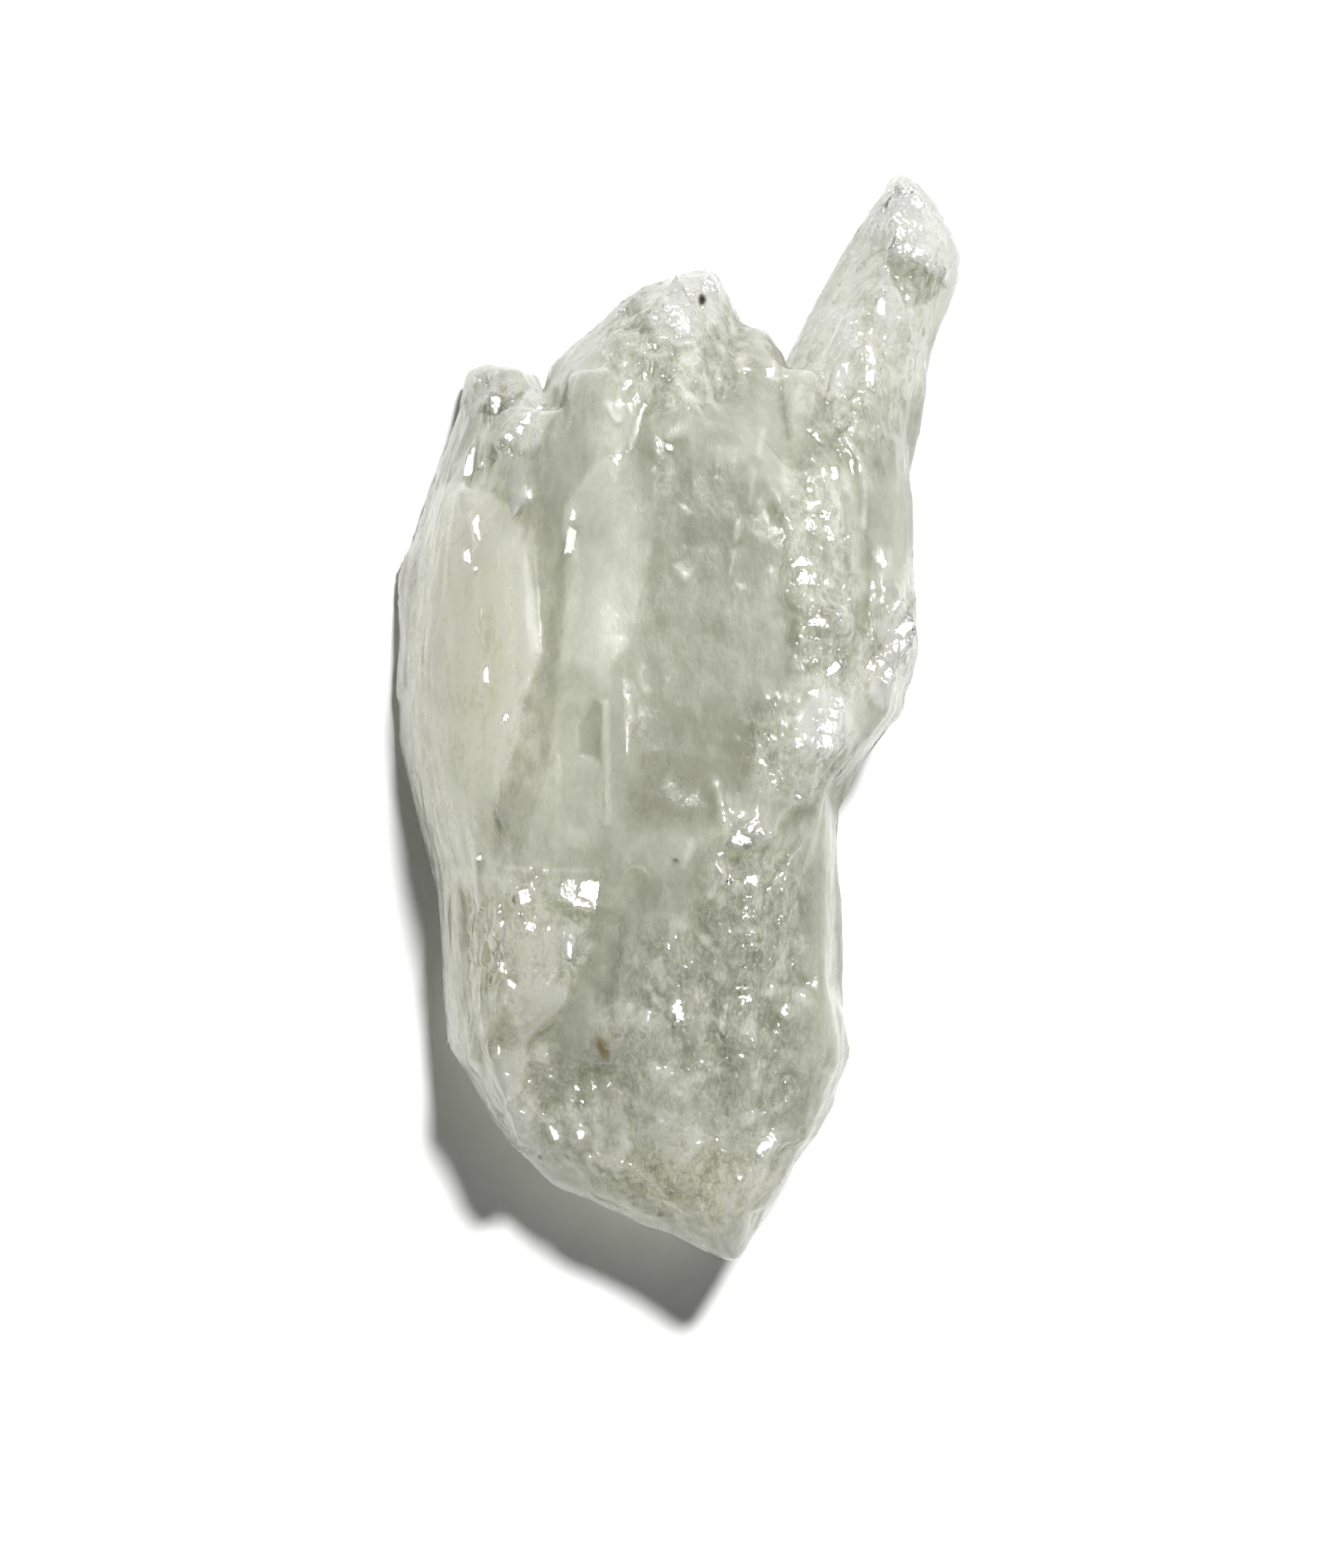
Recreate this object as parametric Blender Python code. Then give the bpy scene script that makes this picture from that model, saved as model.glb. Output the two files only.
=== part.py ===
"""A rough prasiolite (green quartz) crystal, lying on its flat side.

Several quartz crystals have grown side by side, in nearly the same direction, into one
solid body: a long spire on the right, a broad crown in the middle and a small clear point
on the left. Below them the columns run together and end in a broken wedge. Each crystal
is the convex hull of a few cross-sections, because a quartz crystal is bounded by flat
faces. Small growth points stand on the ridges, singly and in rows. Their end faces all
slope the same way, because they have grown in parallel. Furrows part some of the columns.

Lengths are in millimetres until the body is scaled to metres at the end. +Y runs along the
crystals towards their points, and +Z is up, away from the surface that the stone lies on.
"""

import math
import random
from dataclasses import dataclass

import bmesh
import bpy
from mathutils import Matrix, Vector
from mathutils.bvhtree import BVHTree

NODE_NAME = "prasiolite_crystal"
MM = 0.001
SEED = 4

QUARTZ_COLOUR = (0.58, 0.64, 0.49)
QUARTZ_ROUGHNESS = 0.18
QUARTZ_IOR = 1.544
QUARTZ_TRANSMISSION = 0.6
FAR = 100.0

# Shares of a cross-section's width and height that round it off.
UNDERSIDE_INSET = 0.26

# Which way the end faces of the growth points slope: degrees from level, and the compass
# heading in degrees from +Y towards +X.
END_FACE_TILT = 17.0
END_FACE_HEADING = 30.0
GROWTH_ROOT = 1.2
GROWTH_SPREAD = (1.5, 2.6)

FURROW_CLEARANCE = 3.0
PIT_CLEARANCE = 1.0
LEDGE_ROOT = 1.0

# Slivers: thin crystals that lie along the whole surface, spread evenly round the axis.
SLIVER_COUNT = 130
SLIVER_ENDS = (-23.5, 23.5)
SLIVER_LENGTH = (3.0, 9.0)
SLIVER_WIDTH = (0.8, 2.2)
SLIVER_RISE = (0.12, 0.36)
SLIVER_ROOT = 0.8
SLIVER_PROFILE = ((-0.5, 0.2, -0.1), (-0.15, 0.9, 0.8), (0.3, 1.0, 1.0), (0.5, 0.5, -0.3))
SLIVER_MAX_STRETCH = 1.12
SLIVER_MAX_SAG = 0.7
GOLDEN_TURN = math.pi * (3 - math.sqrt(5))

# The stone is cut flat this far up, so that it has a face to lie on.
REST_CUT = 0.35
REST_SLAB = (80.0, 80.0, 10.0)


@dataclass
class Crystal:
    """One crystal of the stone: its cross-sections, and how its edges sit in them.

    Each cross-section is (along, left, right, low, high). along is measured on the crystal's
    own axis, which is turned by turn degrees clockwise from +Y about the point at.
    crest is where the top ridge lies between left and right, flat the share of the width
    that the top face takes, fall how far that face drops from left to right, waist the
    height of the widest line between low and high, inset the share of the width that each
    shoulder stands in from the side, and rise how far up from the waist it stands.
    """

    name: str
    sections: list
    crest: float = 0.5
    flat: float = 0.34
    fall: float = 0.0
    waist: float = 0.42
    inset: float = 0.15
    rise: float = 0.7
    turn: float = 0.0
    at: tuple = (0.0, 0.0)


CRYSTALS = [
    Crystal("core", [(12.6, -6.2, 5.2, 1.0, 13.2), (9.5, -7.6, 6.6, 0.6, 13.9),
                     (3.0, -8.4, 7.2, 0.6, 14.6), (-5.0, -8.4, 6.8, 0.6, 14.2),
                     (-10.0, -7.8, 6.4, 0.7, 13.3), (-16.0, -6.9, 5.6, 2.2, 11.2)],
            crest=0.60, flat=0.42, fall=0.4, waist=0.36, inset=0.13),
    Crystal("foot", [(12.6, -2.6, 6.4, 0.1, 8.0), (8.0, -4.2, 7.4, 0.0, 9.0),
                     (1.0, -5.0, 8.0, 0.0, 9.0), (-3.6, -4.4, 6.8, 0.0, 9.0),
                     (-6.6, -2.2, 4.8, 0.2, 8.0)],
            flat=0.5),
    Crystal("crown", [(20.3, 0.8, 1.8, 4.0, 5.8), (19.5, -1.6, 2.2, 3.0, 7.6),
                      (18.6, -3.0, 2.6, 2.3, 8.9), (15.8, -6.0, 4.0, 1.2, 11.8),
                      (12.5, -6.6, 4.8, 0.8, 13.6), (6.0, -6.4, 5.2, 0.8, 14.3)],
            crest=0.52, flat=0.28, fall=0.3, rise=0.62),
    Crystal("crown_shoulder", [(17.6, 2.9, 4.0, 3.0, 7.0), (16.2, 1.6, 5.0, 2.2, 9.0),
                               (12.0, 1.0, 5.4, 2.0, 12.2), (8.0, 1.0, 5.4, 2.0, 13.6)],
            crest=0.5, flat=0.3),
    Crystal("crown_ridge", [(15.4, -5.0, -2.0, 5.0, 12.0), (12.0, -5.4, -0.7, 5.0, 13.9),
                            (6.0, -5.4, -1.2, 5.0, 14.9), (0.6, -4.7, -3.3, 5.0, 14.4)],
            crest=0.42, flat=0.42, fall=0.5, waist=0.75),
    Crystal("spire_head", [(24.95, 9.9, 10.8, 2.0, 3.6), (23.4, 9.1, 12.0, 1.2, 5.6),
                           (21.3, 7.5, 13.1, 0.8, 7.2), (19.6, 6.6, 12.9, 0.8, 7.9),
                           (16.0, 4.8, 11.5, 0.8, 8.6)],
            crest=0.54, flat=0.24, fall=0.4, waist=0.16, inset=0.2, rise=0.5),
    Crystal("spire_neck", [(18.4, 6.2, 11.9, 0.8, 8.2), (15.6, 4.6, 11.3, 0.8, 9.0),
                           (9.0, 4.2, 10.5, 0.6, 12.0)],
            crest=0.48, flat=0.2, fall=0.6, waist=0.24, rise=0.55),
    Crystal("spire_shaft", [(12.5, 4.5, 10.7, 0.8, 10.6), (9.0, 4.2, 10.6, 0.6, 12.4),
                            (4.5, 3.6, 10.95, 0.6, 13.2), (0.0, 3.0, 10.4, 0.6, 13.2),
                            (-3.0, 2.4, 7.8, 0.8, 12.6)],
            crest=0.38, flat=0.2, fall=0.7, inset=0.12),
    Crystal("left_point", [(16.15, -9.4, -8.5, 1.6, 3.6), (15.7, -9.9, -6.4, 1.0, 6.2),
                           (13.4, -10.3, -5.6, 0.8, 9.0), (6.0, -11.2, -5.4, 0.8, 11.4)],
            crest=0.62, flat=0.3, waist=0.12, inset=0.2, rise=0.42),
    Crystal("left_shoulder", [(13.3, -10.4, -5.6, 1.4, 9.0), (10.0, -11.7, -5.4, 1.0, 11.2),
                              (5.0, -12.5, -5.4, 0.8, 12.2), (1.0, -11.8, -6.4, 0.8, 12.0)],
            crest=0.70, flat=0.3, waist=0.06, inset=0.22, rise=0.38),
    Crystal("left_lobe", [(10.6, -11.5, -6.8, 1.0, 10.0), (7.0, -12.7, -6.2, 0.8, 11.4),
                          (1.6, -13.1, -5.8, 0.6, 12.2), (-1.6, -12.9, -6.2, 0.6, 11.8),
                          (-4.2, -11.5, -6.6, 0.8, 10.8), (-9.0, -11.0, -6.8, 1.6, 9.4)],
            crest=0.66, flat=0.26, waist=0.05, inset=0.22, rise=0.36),
    Crystal("flange", [(6.2, -2.2, -0.6, 3.4, 7.6), (4.4, -2.2, 1.1, 2.6, 9.6),
                       (0.0, -2.2, 1.7, 2.0, 12.4), (-4.0, -2.2, 1.6, 2.0, 13.2),
                       (-7.4, -1.6, 0.8, 3.0, 13.2)],
            crest=0.45, flat=0.22, turn=36.0, at=(7.6, -0.2)),
    Crystal("lower_right", [(-0.5, 1.8, 7.2, 1.4, 12.4), (-4.5, 1.4, 7.4, 1.2, 12.2),
                            (-12.0, 1.0, 7.35, 1.5, 11.4), (-18.0, 1.2, 7.2, 3.6, 10.0),
                            (-22.6, 1.8, 4.2, 5.0, 8.2)],
            crest=0.40, flat=0.26, fall=0.5, inset=0.12),
    Crystal("lower_right_knob", [(-12.6, 3.0, 7.4, 2.6, 10.6), (-15.6, 3.0, 7.95, 3.0, 10.2),
                                 (-19.6, 3.0, 6.3, 4.4, 9.0)],
            crest=0.5, flat=0.3, waist=0.5),
    Crystal("wedge", [(-3.0, -4.8, 4.4, 0.8, 14.0), (-12.0, -5.4, 4.8, 1.2, 12.9),
                      (-18.0, -6.2, 5.6, 2.8, 10.8), (-21.8, -4.8, 4.6, 3.8, 8.4),
                      (-24.2, 0.6, 3.3, 4.6, 7.4), (-25.05, 2.2, 2.8, 5.2, 6.6)],
            crest=0.66, flat=0.34, fall=0.3, waist=0.3, inset=0.14, rise=0.5),
    Crystal("wedge_ledge", [(-15.0, -7.4, 0.0, 2.4, 9.0), (-20.2, -7.4, 1.0, 3.4, 7.4),
                            (-21.7, -5.9, 1.2, 3.6, 6.2), (-23.6, -1.4, 1.6, 4.2, 6.2)],
            crest=0.56, flat=0.5, waist=0.3, rise=0.5),
    Crystal("left_web", [(13.6, -8.4, -3.6, 1.0, 10.4), (10.0, -9.0, -3.6, 1.0, 12.2),
                         (2.0, -8.8, -3.8, 1.0, 12.8), (-6.0, -8.6, -3.8, 1.0, 12.2),
                         (-12.0, -7.6, -4.4, 1.2, 10.8), (-17.0, -7.0, -5.0, 2.4, 8.8)],
            crest=0.56, flat=0.56),
    Crystal("right_web", [(15.5, 2.9, 7.0, 1.0, 9.0), (11.0, 2.6, 7.8, 1.0, 11.8),
                          (4.0, 2.6, 7.8, 1.0, 13.6), (-4.0, 2.2, 6.8, 1.0, 13.1)],
            crest=0.5, flat=0.6),
    Crystal("lower_left", [(-6.0, -10.9, -5.4, 1.4, 10.4), (-8.0, -11.15, -3.9, 1.4, 11.4),
                           (-12.4, -10.95, -4.7, 1.4, 11.0), (-15.2, -10.75, -6.2, 2.0, 9.8),
                           (-18.2, -9.0, -6.2, 3.0, 8.4), (-20.0, -7.7, -6.3, 3.6, 7.0)],
            crest=0.64, flat=0.26, waist=0.14, inset=0.2, rise=0.36),
]

# Growth points: (x, y, width, length, rise, turn of the end face's outline in degrees).
GROWTH_POINTS = [
    (-8.3, 14.2, 0.9, 0.6, 0.35, 30), (-9.0, 15.3, 0.7, 0.6, 0.2, 0),
    (-9.5, 11.2, 0.7, 2.0, 0.4, 5), (-9.2, 8.5, 0.6, 1.8, 0.3, 0),
    (-9.5, 6.9, 0.6, 1.0, 0.3, 0), (-4.7, 8.3, 1.0, 2.0, 0.4, -5),
    (-8.65, 1.7, 0.6, 1.3, 0.3, 10), (-7.7, -0.2, 0.6, 0.7, 0.3, 0),
    (-1.6, 1.2, 0.9, 1.3, 0.35, 20), (-3.0, 13.3, 0.9, 1.4, 0.4, 15),
    (0.1, 17.3, 1.6, 2.2, 0.5, 10), (1.4, 19.3, 1.5, 1.1, 0.4, 40),
    (-2.8, 16.1, 1.2, 1.2, 0.4, 0), (4.1, 15.5, 0.9, 0.9, 0.4, 0),
    (10.5, 23.3, 1.2, 1.1, 0.4, 0), (10.3, 22.3, 1.2, 0.8, 0.45, 20),
    (9.2, 18.3, 0.6, 1.4, 0.35, 10), (8.4, 15.7, 0.9, 2.2, 0.4, -10),
    (6.9, 10.8, 0.8, 0.9, 0.45, 0), (8.2, 10.9, 0.5, 1.8, 0.35, -18),
    (5.9, 8.5, 0.8, 0.8, 0.4, 0), (6.8, 8.4, 0.9, 1.0, 0.45, 10),
    (5.6, 6.1, 1.2, 1.2, 0.5, 0), (6.6, 4.1, 1.6, 0.9, 0.5, 15),
    (6.9, 2.0, 1.3, 0.6, 0.5, 35), (9.3, 6.8, 0.7, 0.8, 0.35, 30),
    (3.3, -5.4, 1.6, 1.3, 0.5, 20), (2.1, -4.4, 0.5, 1.8, 0.35, 5),
    (2.3, -7.4, 0.5, 1.0, 0.3, 0), (3.4, -7.5, 1.1, 0.9, 0.4, 0),
    (4.7, -13.5, 0.8, 0.8, 0.35, 0), (0.1, -13.4, 0.9, 1.4, 0.45, 15),
    (-4.5, -8.1, 1.9, 1.6, 0.55, 0), (-6.9, -8.4, 0.8, 1.2, 0.4, 10),
    (-6.6, -9.5, 0.9, 0.9, 0.4, 0), (-4.9, -10.4, 0.7, 1.5, 0.4, 5),
    (-7.6, -11.7, 0.5, 1.7, 0.35, -30), (-0.3, -10.5, 0.8, 0.9, 0.35, 0),
    (-5.8, -18.8, 0.7, 1.3, 0.4, -40), (-4.4, -19.2, 0.9, 0.9, 0.4, 0),
    (-3.9, -17.4, 0.6, 1.8, 0.35, 0), (3.8, -19.4, 0.8, 1.6, 0.4, 35),
    (2.9, -21.0, 0.8, 0.8, 0.3, 0), (-9.4, -15.2, 0.8, 1.4, 0.3, 0),
]

# Rows of growth points: (first x, first y, last x, last y, count, width, length, rise).
GROWTH_ROWS = [
    (-7.6, 12.2, -5.9, 14.0, 4, 0.9, 0.8, 0.4),
    (9.7, 3.2, 8.5, 1.5, 3, 1.3, 1.0, 0.3),
    (7.4, 0.6, 5.8, -1.4, 3, 1.6, 1.2, 0.45),
    (5.0, -1.9, 3.8, -3.7, 4, 1.2, 0.6, 0.4),
    (3.3, -9.0, 3.3, -14.6, 6, 0.9, 0.7, 0.4),
    (-3.6, -20.0, -1.2, -20.8, 3, 1.1, 0.8, 0.35),
    (-1.6, -9.5, -0.9, -16.0, 4, 0.8, 1.1, 0.35),
]

# Furrows: their depth, and the points (x, y, width) that they run through.
FURROWS = [
    (0.8, [(-6.3, 12.0, 0.9), (-6.4, 8.6, 2.2), (-6.1, 4.6, 1.9), (-5.9, 2.4, 0.8)]),
    (0.7, [(-6.2, 2.4, 0.7), (-6.5, 0.4, 1.9), (-7.0, -2.4, 1.8), (-7.6, -5.6, 0.8)]),
    (0.8, [(-3.9, 0.9, 0.4), (-3.9, -1.2, 1.3), (-3.7, -4.4, 0.6)]),
    (1.0, [(-1.8, -7.0, 1.0), (-3.4, -10.2, 2.6), (-4.7, -13.2, 2.8), (-6.4, -15.8, 1.4)]),
    (0.6, [(4.9, 15.0, 1.2), (4.7, 13.2, 1.2), (5.0, 10.4, 0.6)]),
    (0.6, [(8.6, 9.4, 0.8), (8.9, 6.0, 1.4), (8.6, 3.2, 0.9)]),
    (0.6, [(5.6, -4.4, 0.6), (4.6, -6.6, 1.2), (4.4, -9.4, 0.6)]),
    (0.5, [(-1.0, 16.6, 0.5), (-1.5, 13.6, 1.2), (-2.1, 9.0, 0.5)]),
    (0.45, [(1.9, 14.0, 0.6), (2.3, 9.6, 1.3), (1.8, 4.4, 0.6)]),
    (0.5, [(-9.0, 12.6, 0.5), (-9.7, 7.4, 1.1), (-10.2, 2.0, 0.7), (-9.6, -2.0, 0.5)]),
    (0.5, [(1.1, -8.6, 0.5), (1.5, -12.8, 1.3), (1.9, -18.4, 0.8)]),
    (0.5, [(-2.3, -13.6, 0.5), (-2.6, -16.6, 1.2), (-2.2, -19.6, 0.7)]),
    (0.5, [(8.9, 20.6, 0.6), (8.2, 17.0, 1.2), (7.2, 12.4, 0.8)]),
]

# Pits: (x, y, width, length, depth, turn in degrees).
PITS = [
    (1.1, 18.6, 0.8, 1.2, 0.7, 15), (11.0, 19.7, 2.4, 1.7, 0.8, 30), (9.1, 21.4, 0.8, 1.4, 0.4, 20),
    (-3.9, -0.5, 0.9, 1.6, 0.6, 0), (-2.6, -9.6, 0.9, 1.3, 0.5, 40), (-5.3, -12.2, 0.8, 1.5, 0.5, 20),
    (0.9, -7.9, 0.8, 1.0, 0.4, 0), (-1.7, 6.2, 0.9, 1.7, 0.35, 10), (2.9, 5.9, 1.1, 2.4, 0.4, -8),
    (-0.2, -2.4, 1.0, 2.0, 0.35, 12), (-10.1, 4.6, 0.9, 1.7, 0.35, 0), (-8.7, -11.6, 0.7, 1.2, 0.4, 30),
    (1.5, -16.5, 0.7, 1.5, 0.4, -10), (4.9, -17.2, 0.9, 1.2, 0.4, 20), (7.3, 13.2, 0.7, 1.6, 0.35, -10),
]

# Ledges: their rise, and the points (x, y, width) that they run through.
LEDGES = [
    (0.25, [(-10.0, -6.9, 1.0), (-7.4, -6.9, 1.6), (-4.4, -7.0, 1.2)]),
    (0.3, [(-5.9, -19.4, 1.0), (-3.6, -20.1, 1.6), (0.4, -21.4, 1.0)]),
    (0.3, [(8.9, 22.6, 0.7), (10.2, 21.9, 1.1), (11.6, 20.9, 0.9)]),
    (0.25, [(-4.4, 12.4, 0.8), (-1.9, 12.5, 0.9)]),
]


def section_corners(crystal, section):
    """Returns the eight corners of one cross-section, in the crystal's own frame."""
    along, left, right, low, high = section
    width = right - left
    inset = crystal.inset * width
    crest = left + crystal.crest * width
    half_flat = crystal.flat * width / 2
    waist = low + crystal.waist * (high - low)
    shoulder = waist + crystal.rise * (high - waist)
    return [
        (left, along, waist),
        (left + inset, along, shoulder),
        (crest - half_flat, along, high),
        (crest + half_flat, along, high - crystal.fall),
        (right - inset, along, shoulder - crystal.fall),
        (right, along, waist),
        (right - UNDERSIDE_INSET * width, along, low),
        (left + UNDERSIDE_INSET * width, along, low),
    ]


def new_object(name, shape):
    """Returns a new object holding the bmesh, which is freed."""
    bmesh.ops.recalc_face_normals(shape, faces=shape.faces)
    mesh = bpy.data.meshes.new(name)
    shape.to_mesh(mesh)
    shape.free()
    made = bpy.data.objects.new(name, mesh)
    bpy.context.scene.collection.objects.link(made)
    return made


def hull_object(name, points):
    """Returns a new object: the convex hull of the points."""
    shape = bmesh.new()
    for point in points:
        shape.verts.new(point)
    made = bmesh.ops.convex_hull(shape, input=shape.verts)
    left_over = [v for v in made["geom_interior"] + made["geom_unused"] if isinstance(v, bmesh.types.BMVert)]
    bmesh.ops.delete(shape, geom=list(set(left_over)), context="VERTS")
    return new_object(name, shape)


def build_crystal(crystal):
    """Returns one crystal as a solid, in place."""
    turn = Matrix.Rotation(-math.radians(crystal.turn), 4, "Z")
    place = Matrix.Translation((*crystal.at, 0.0)) @ turn
    corners = [place @ Vector(c) for s in crystal.sections for c in section_corners(crystal, s)]
    return hull_object(crystal.name, corners)


def search_tree(body):
    """Returns a tree of the body's faces, which finds where a ray meets them."""
    mesh = body.data
    return BVHTree.FromPolygons([v.co for v in mesh.vertices], [p.vertices for p in mesh.polygons])


def surface_height(tree, x, y):
    """Returns the height of the upper surface at (x, y)."""
    return tree.ray_cast(Vector((x, y, FAR)), Vector((0.0, 0.0, -1.0)))[0].z


def build_growth_point(tree, x, y, width, length, rise, turn):
    """Returns a small crystal that stands out of the surface and ends in one sloping face."""
    ground = surface_height(tree, x, y)
    heading = math.radians(END_FACE_HEADING + random.uniform(-14, 14))
    slope = math.tan(math.radians(END_FACE_TILT + random.uniform(-5, 5)))
    spin = Matrix.Rotation(-math.radians(turn), 2)
    sides = random.choice((4, 5, 5, 6))
    points = []
    for step in range(sides):
        angle = 2 * math.pi * (step + 0.5 + random.uniform(-0.25, 0.25)) / sides
        uneven = random.uniform(0.7, 1.15)
        side = spin @ Vector((math.cos(angle) * width, math.sin(angle) * length)) * uneven / 2
        uphill = side.x * math.sin(heading) + side.y * math.cos(heading)
        points.append((x + side.x, y + side.y, ground + rise - slope * uphill))
        foot = side * random.uniform(*GROWTH_SPREAD)
        points.append((x + foot.x, y + foot.y, ground - GROWTH_ROOT))
    return hull_object("growth_point", points)


def build_growth_row(tree, first_x, first_y, last_x, last_y, count, width, length, rise):
    """Returns a row of growth points, each a little different from the last."""
    made = []
    for step in range(count):
        share = step / (count - 1)
        x = first_x + share * (last_x - first_x) + random.uniform(-0.3, 0.3)
        y = first_y + share * (last_y - first_y) + random.uniform(-0.2, 0.2)
        size = random.uniform(0.6, 1.2)
        turn = random.uniform(-40, 40)
        made.append(build_growth_point(tree, x, y, width * size, length * size, rise * size, turn))
    return made


def build_bar(name, tree, profile, points):
    """Returns a bar with a triangular profile that follows the surface.

    The profile is three pairs (share of the width, height over the surface).
    """
    shape = bmesh.new()
    rings = []
    for x, y, width in points:
        ground = surface_height(tree, x, y)
        rings.append([shape.verts.new((x + share * width, y, ground + up)) for share, up in profile])
    for ring, after in zip(rings, rings[1:]):
        for k in range(3):
            n = (k + 1) % 3
            shape.faces.new((ring[k], ring[n], after[n], after[k]))
    shape.faces.new(rings[0])
    shape.faces.new(rings[-1])
    bmesh.ops.triangulate(shape, faces=shape.faces)
    return new_object(name, shape)


def build_furrow(tree, depth, points):
    """Returns the cutter of a furrow, as wide at the surface as its points say."""
    half = 0.5 * (depth + FURROW_CLEARANCE) / depth
    profile = ((-half, FURROW_CLEARANCE), (half, FURROW_CLEARANCE), (0.0, -depth))
    return build_bar("furrow", tree, profile, points)


def build_pit(tree, x, y, width, length, depth, turn):
    """Returns the cutter of a pit: an uneven pyramid that stands on its tip."""
    ground = surface_height(tree, x, y)
    spin = Matrix.Rotation(-math.radians(turn), 2)
    open_by = (depth + PIT_CLEARANCE) / depth
    points = [(x, y, ground - depth)]
    for step in range(5):
        angle = 2 * math.pi * (step + random.uniform(-0.2, 0.2)) / 5
        side = spin @ Vector((math.cos(angle) * width, math.sin(angle) * length)) * open_by / 2
        points.append((x + side.x, y + side.y, ground + PIT_CLEARANCE))
    return hull_object("pit", points)


def build_ledge(tree, rise, points):
    """Returns a ledge across the stone: a low bar whose steep side faces +Y."""
    places = [(Vector((x, y, surface_height(tree, x, y))), width) for x, y, width in points]
    made = []
    for (first, wide), (last, narrow) in zip(places, places[1:]):
        corners = []
        for place, width in ((first, wide), (last, narrow)):
            for share, up in ((0.2, rise), (0.32, -LEDGE_ROOT), (-0.8, -LEDGE_ROOT), (-0.35, 0.55 * rise)):
                corners.append(place + Vector((0.0, share * width, up)))
        made.append(hull_object("ledge", corners))
    return made


def axis_point(y):
    """Returns the middle of the stone at y, about which the slivers are spread."""
    share = max(0.0, y - 12.0) / 12.0
    return Vector((9.5 * share, y, 6.4 - 1.4 * share))


def build_sliver(tree, y, angle):
    """Returns a thin crystal that follows the surface, or None where the surface breaks off.

    It ends in a short steep face on the side of +Y. Its other end fades out.
    """
    outward = Vector((math.cos(angle), 0.0, math.sin(angle)))
    length = random.uniform(*SLIVER_LENGTH)
    width = random.uniform(*SLIVER_WIDTH)
    rise = random.uniform(*SLIVER_RISE)
    places = []
    for share, _, _ in SLIVER_PROFILE:
        start = axis_point(y + share * length) + FAR * outward
        places.append(tree.ray_cast(start, -outward)[:2])
    if any(place is None for place, _ in places):
        return None
    along = places[-1][0] - places[0][0]
    sag = max((place - places[0][0]).cross(along.normalized()).length for place, _ in places)
    if along.length > SLIVER_MAX_STRETCH * length or sag > SLIVER_MAX_SAG:
        return None
    points = []
    for (place, normal), (_, spread, lift) in zip(places, SLIVER_PROFILE):
        across = along.cross(normal).normalized() * (spread * width / 2)
        upper = place + normal * (lift * rise)
        lower = place - normal * SLIVER_ROOT
        points += [upper + across * 0.45, upper - across * 0.45]
        points += [lower + across * 1.5, lower - across * 1.5]
    return hull_object("sliver", points)


def build_slivers(tree):
    """Returns slivers all round the stone, each a golden turn from the last."""
    first, last = SLIVER_ENDS
    made = []
    for step in range(SLIVER_COUNT):
        y = first + (last - first) * (step + 0.5) / SLIVER_COUNT
        made.append(build_sliver(tree, y, step * GOLDEN_TURN))
    return [sliver for sliver in made if sliver]


def build_rest_slab():
    """Returns the slab whose top is the flat face that the stone lies on."""
    shape = bmesh.new()
    size = Vector(REST_SLAB)
    place = Matrix.Translation((0.0, 0.0, REST_CUT - size.z / 2)) @ Matrix.Diagonal((*size, 1.0))
    bmesh.ops.create_cube(shape, size=1.0, matrix=place)
    return new_object("rest_slab", shape)


def connected_corners(start):
    """Returns the set of corners that can be reached from one corner along the edges."""
    reached = {start}
    waiting = [start]
    while waiting:
        for edge in waiting.pop().link_edges:
            found = set(edge.verts) - reached
            reached |= found
            waiting.extend(found)
    return reached


def keep_main_shell(body):
    """Fills the pockets closed in between the columns, so that one outer surface is left."""
    shape = bmesh.new()
    shape.from_mesh(body.data)
    left = set(shape.verts)
    shells = []
    while left:
        shell = connected_corners(next(iter(left)))
        shells.append(shell)
        left -= shell
    shells.sort(key=len)
    strays = [corner for shell in shells[:-1] for corner in shell]
    bmesh.ops.delete(shape, geom=strays, context="VERTS")
    shape.to_mesh(body.data)
    shape.free()


def stand_on_origin(body):
    """Moves the body so that the middle of its box's underside is the origin."""
    corners = [v.co for v in body.data.vertices]
    low = Vector(min(c[k] for c in corners) for k in range(3))
    high = Vector(max(c[k] for c in corners) for k in range(3))
    body.data.transform(Matrix.Translation((-(low.x + high.x) / 2, -(low.y + high.y) / 2, -low.z)))


def combined(base, objects, operation):
    """Returns base joined with, or cut by, all the objects, as a new object. The old ones go."""
    group = bpy.data.collections.new("operands")
    for operand in objects:
        group.objects.link(operand)
    boolean = base.modifiers.new(operation.lower(), "BOOLEAN")
    boolean.operation = operation
    boolean.operand_type = "COLLECTION"
    boolean.collection = group
    boolean.solver = "EXACT"
    graph = bpy.context.evaluated_depsgraph_get()
    mesh = bpy.data.meshes.new_from_object(base.evaluated_get(graph))
    result = bpy.data.objects.new("body", mesh)
    bpy.context.scene.collection.objects.link(result)
    for used in [base, *objects]:
        bpy.data.objects.remove(used)
    bpy.data.collections.remove(group)
    return result


def crystal_material():
    """Returns the material of the stone: pale green quartz with a cloudy body."""
    material = bpy.data.materials.new("pale_green_quartz")
    material.use_nodes = True
    shader = material.node_tree.nodes["Principled BSDF"]
    shader.inputs["Base Color"].default_value = (*QUARTZ_COLOUR, 1.0)
    shader.inputs["Roughness"].default_value = QUARTZ_ROUGHNESS
    shader.inputs["Metallic"].default_value = 0.0
    shader.inputs["IOR"].default_value = QUARTZ_IOR
    shader.inputs["Transmission Weight"].default_value = QUARTZ_TRANSMISSION
    return material


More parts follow.
